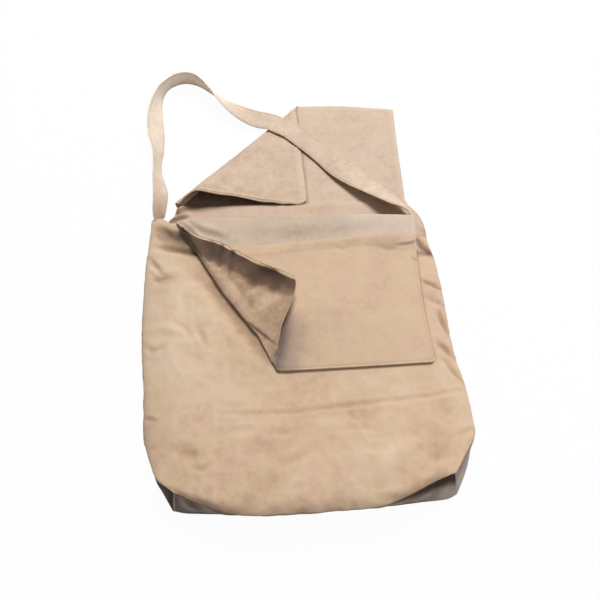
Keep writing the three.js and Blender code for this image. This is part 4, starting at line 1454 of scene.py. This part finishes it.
        # Painted highlight on the hem's edge, painted shade under the standing hem, painted shadow
        # lines at the very edge and along a crease, and crests painted a little lighter.
        bead_highlight = bell(edge - 2.4, 1.7)
        under = np.clip(1 - (edge - 4) / mix(18, 28, along), 0, 1) * (1 - bead_highlight) * (edge > 2.4)
        dark = (1 - np.exp(-(under * 1.6))) * mix(0.8, 1.0, past(along, 0.1, 0.5))
        painted_shading = np.where(relief > 0, 0.35, 1.0) * relief + 2.8 * bead_highlight - 6.0 * dark
        painted_shading = painted_shading - 3.0 * bell(edge, 0.9) - self.CREASE_SHADOW.relief(x, s)
        flat = s * 0.83 - x * 0.56, x * 0.83 + s * 0.56
        piece = sheet_object("pocket_folded_corner", cloth, flat, self.thickness, painted_shading)
        dress(piece, self.wardrobe.cloth(SHADED_CORNER_CLOTH))
        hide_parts("pocket_flap_folded_corner", "pocket_flap_corner_hem")
        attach(piece, "pocket_flap")
        rise = np.linspace(0.02, 0.97, STITCH_PLACES)
        inset = self.corner_stitch_inset / np.interp(rise, cloth.v, widths[:, 0])
        run = stitch_run(cloth, 1 - inset, rise)
        thread = self.wardrobe.sewn("pocket_corner_stitches", [run])
        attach(thread, "pocket_flap")


@dataclass
class Strap:
    """Shoulder strap, a flat band with a half twist in its free loop.

    Each station gives the plan place, height, width and tilt in degrees of the band's middle.
    """

    wardrobe: Wardrobe
    width: float = 34.0
    thickness: float = 2.4
    steps: int = 420
    around: int = 28

    STATIONS = [
        (-185, 170, 6, 8, 100), (-185.6, 187, 7, 10, 102), (-186, 199, 8.5, 13, 104),
        (-186.8, 206.5, 11.5, 24, 105), (-186.4, 216, 16.4, 33, 107), (-185.2, 231, 17.4, 34, 111),
        (-185, 260, 16.3, 34, 119), (-187.2, 280, 17.1, 34, 113), (-190, 302, 18.2, 34, 101),
        (-191.4, 325, 18.2, 34, 101), (-192.2, 346, 17, 34, 114), (-194.4, 368, 15.2, 34, 127),
        (-196, 391, 14.6, 34, 130), (-196.2, 417, 15.8, 34, 122), (-194.4, 440, 17.9, 34, 106),
        (-189.5, 463, 18.5, 34, 90), (-182, 481, 18.2, 34, 77), (-172, 494, 18, 34, 72),
        (-158, 501, 18, 34, 72), (-143, 501, 18, 34, 74), (-129, 494, 18, 34, 76),
        (-117, 483, 17.8, 34, 73), (-108, 473, 17.2, 34, 67), (-99, 464, 16, 34, 58),
        (-86, 449, 14.6, 34, 43), (-71.5, 435, 13.2, 34, 25), (-51.8, 418, 12.5, 34, 8),
        (-32.2, 407, 11.5, 34, -3), (-13, 401.5, 10.8, 34, -2), (2.4, 392.5, 10.2, 34, 0),
        (22.2, 379, 9.4, 34, 0), (46.7, 351.3, 8, 34, 0), (67.7, 325.5, 7.2, 34, 0),
        (85, 301, 8.5, 34, -3), (103.2, 280.7, 12, 34, -3), (128.9, 254.6, 16, 34, 12),
        (147.7, 234.7, 20, 33, 21), (159.6, 220.6, 23, 32, 31), (169.4, 210.5, 25, 28, 40),
        (176.4, 202.5, 24.8, 23, 41), (180.8, 194, 23.2, 20, 34), (183, 184, 21.8, 19.5, 24),
        (183.6, 174, 21, 20, 20), (184, 165, 19.6, 20, 20), (184.3, 157.5, 17, 19, 20),
    ]
    # Painted light and shade along the strap: darker at the left end, lighter over the loop's top.
    PAINTED_SHADING_STOPS = [
        (0, -1.5), (45, -0.8), (90, 1.6), (230, 1.8), (310, 4.0), (400, 4.0), (470, 0.6), (900, 0)
    ]
    STITCH_LANES, LANE_HALF, STITCH_SINK = (-0.42, 0.42), 0.01, 0.25
    END_STEPS, END_ROWS = slice(394, 418), (0.3, 0.5)

    def band(self) -> tuple[Array, Array, Array]:
        """Centreline, width direction and facing of the band, one row per step."""
        x, s, z, width, tilt = through(self.STATIONS, np.linspace(0, 1, self.steps)).T
        centre = laid(x, s, z)
        ahead = unit(np.gradient(centre, axis=0))
        level = unit(np.stack([ahead[:, 1], -ahead[:, 0], 0 * ahead[:, 0]], axis=-1))
        tilt = np.radians(tilt)[:, None]
        side = level * np.cos(tilt) + unit(np.cross(level, ahead)) * np.sin(tilt)
        return centre, side * width[:, None], unit(np.cross(side, ahead))

    def sway(self, reach: Array, offset: Array) -> Array:
        """Slow waves of the band along its length."""
        return 0.7 * drift(reach, offset * 0.2 + 90, 42.0, 95)

    def build(self) -> None:
        """Makes the band as a flattened tube and the stitches near its edges."""
        centre, side, facing = self.band()
        reach = walked(centre)
        piece = self.tube(centre, side, facing, reach)
        dress(piece, self.wardrobe.cloth(HEM_CLOTH))
        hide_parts("shoulder_strap", "strap_tail_left", "strap_tail_right")
        runs = self.edge_runs(centre, side, facing, reach) + self.end_runs(centre, side, facing)
        thread = self.wardrobe.sewn("strap_stitches", runs)
        for made in (piece, thread):
            laid(0.0, 205.0, 11.0) * MM
            laid(0.0, 224.0, 11.0) * MM
            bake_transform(made)
        log.info("strap %.0f mm long", reach[-1])

    def edge_runs(self, centre: Array, side: Array, facing: Array, reach: Array) -> list[Array]:
        """Stitches along both edges on both faces of the band."""
        runs, along = [], np.linspace(0.01, 0.99, 900)
        for place in self.STITCH_LANES:
            lane = np.array([place - self.LANE_HALF, place + self.LANE_HALF])
            flat = centre[:, None] + side[:, None] * lane[None, :, None]
            sway = self.sway(reach, place * self.width)
            for face in (-1, 1):
                rise = face * (0.5 * self.thickness - self.STITCH_SINK) + sway
                strip = (flat + facing[:, None] * rise[:, None, None])[:, ::face]
                cloth = ClothGrid(np.array([0.0, 1.0]), np.linspace(0, 1, self.steps), strip)
                runs.append(stitch_run(cloth, 0.5, along, 3.6))
        return runs

    def end_runs(self, centre: Array, side: Array, facing: Array) -> list[Array]:
        """Two rows of stitches across the end that is sewn to the right shoulder."""
        centre, side, facing = (rows[self.END_STEPS, None] for rows in (centre, side, facing))
        lanes = np.linspace(-0.45, 0.45, 9)
        strip = centre + side * lanes[None, :, None] + facing * (0.5 * self.thickness)
        cloth = ClothGrid(lanes, np.linspace(0, 1, len(strip)), strip)
        across = np.linspace(*self.STITCH_LANES, 40)
        return [stitch_run(cloth, across, place, 3.0) for place in self.END_ROWS]

    def tube(self, centre: Array, side: Array, facing: Array, reach: Array) -> bpy.types.Object:
        """The band's cloth: a flattened tube with rounded edges and a dip at each stitch line."""
        turn = np.linspace(0, 2 * np.pi, self.around, endpoint=False)
        cosine, sine = np.cos(turn), np.sin(turn)
        across = 0.5 * np.sign(cosine) * np.abs(cosine) ** 0.55
        thick = 0.5 * self.thickness * np.sign(sine) * np.abs(sine) ** 0.5
        rows, offset = np.meshgrid(reach, across * self.width, indexing="ij")
        sway = self.sway(rows, offset) + 0.25 * drift(rows, offset + 90, 13.0, 97)
        dip = -0.35 * bell(np.abs(offset) - 14.2, 0.9) * np.sign(thick)[None]
        points = centre[:, None] + side[:, None] * across[None, :, None]
        points = points + facing[:, None] * (thick[None] + dip + sway)[..., None]
        faces = grid_faces(self.steps, self.around, closed=True)[:, ::-1].tolist()
        # Painted light and shade along the strap's length.
        flat, painted_shading = np.stack([offset, rows], axis=-1), profile(rows, self.PAINTED_SHADING_STOPS, 20.0)
        piece = mesh_object("shoulder_strap_cloth", points, faces, flat, painted_shading)
        self.close_ends(piece.data)
        return piece

    def close_ends(self, mesh: bpy.types.Mesh) -> None:
        """Closes the two open ends of the band's tube with flat faces."""
        work = bmesh.new()
        work.from_mesh(mesh)
        work.verts.ensure_lookup_table()
        corners = list(work.verts)
        work.faces.new(corners[: self.around])
        work.faces.new(corners[: -self.around - 1 : -1])
        work.to_mesh(mesh)
        work.free()


@dataclass(frozen=True)
class Studio:
    """Pale floor, soft lamps and the camera over the bag."""

    elevation: float = 60.2
    azimuth: float = -5.2
    distance: float = 0.819
    target: tuple[float, float, float] = (0.0057, 0.073, 0.0)
    lens: float = 36.0
    sensor: float = 36.0
    sky: float = 0.19
    aim: tuple[float, float, float] = (0.0, 0.08, 0.0)
    floor_reach: float = 6.0
    floor_drop: float = 0.0004
    floor_glow: float = 0.965

    def build(self) -> None:
        """Makes the floor, world, lamps and camera."""
        self.floor()
        self.world()
        self.lamp("key_lamp", (0.5, 1.7, 2.85), 1.2, 106.0)
        self.lamp("fill_lamp", (1.4, -0.6, 1.0), 1.0, 5.0)
        self.camera()

    def floor(self) -> None:
        """A wide floor that the camera sees nearly white and that still takes the bag's shadow."""
        mesh = bpy.data.meshes.new("floor")
        ring = [(-1, -1), (1, -1), (1, 1), (-1, 1)]
        corners = [(x * self.floor_reach, y * self.floor_reach, -self.floor_drop) for x, y in ring]
        mesh.from_pydata(corners, [], [(0, 1, 2, 3)])
        material, bench, shader = new_material("floor_paper")
        bench.feed(shader, {"Base Color": (0.8, 0.8, 0.8, 1), "Roughness": 0.9})
        glow = bench.add("ShaderNodeEmission")
        seen = bench.seen("Is Camera Ray", "Is Glossy Ray", "Is Transmission Ray")
        share = bench.math("MULTIPLY", seen, self.floor_glow)
        parts = {0: share, 1: shader.outputs[0], 2: glow.outputs[0]}
        blend = bench.add("ShaderNodeMixShader", parts)
        bench.feed(bench.tree.nodes["Material Output"], {"Surface": blend.outputs[0]})
        mesh.materials.append(material)
        made = placed("floor", mesh)

    def world(self) -> None:
        """An even sky, white where the camera sees it."""
        world = bpy.data.worlds.new("studio")
        bpy.context.scene.world = world
        world.use_nodes = True
        bench = NodeBench(world.node_tree)
        seen = bench.seen("Is Camera Ray", "Is Glossy Ray")
        strength = bench.math("MULTIPLY_ADD", seen, 1.0 - self.sky, self.sky)
        back = bench.tree.nodes["Background"]
        bench.feed(back, {"Color": (1, 1, 1, 1), "Strength": strength})

    def lamp(self, name: str, place: tuple[float, float, float], size: float, power: float) -> None:
        """A square soft lamp turned to the bag."""
        data = bpy.data.lights.new(name, "AREA")
        data.size, data.energy = size, power
        made = placed(name, data)
        made.location = place
        turn_to(made, Vector(self.aim) - Vector(place))

    def camera(self) -> None:
        """The camera at the photograph's angle: target + distance * direction back to it."""
        data = bpy.data.cameras.new("camera")
        data.lens, data.sensor_width = self.lens, self.sensor
        data.clip_start, data.clip_end = 0.01, 50.0
        made = placed("camera", data)
        turn, rise = math.radians(self.azimuth), math.radians(self.elevation)
        level = math.cos(rise)
        back = Vector((math.sin(turn) * level, -math.cos(turn) * level, math.sin(rise)))
        made.location = Vector(self.target) + back * self.distance
        turn_to(made, -back)
        bpy.context.scene.camera = made
        bpy.context.scene.view_settings.view_transform = "Standard"


def main() -> None:
    """Builds the bag from the pouch outwards, then the studio."""
    logging.basicConfig(level=logging.INFO, format="%(message)s")
    wardrobe = Wardrobe()
    pouch = Pouch(wardrobe)
    pouch.build()
    Cover(wardrobe, pouch).build()
    PocketFlap(wardrobe, pouch).build()
    Strap(wardrobe).build()
    Studio().build()


if __name__ == "__main__":
    main()
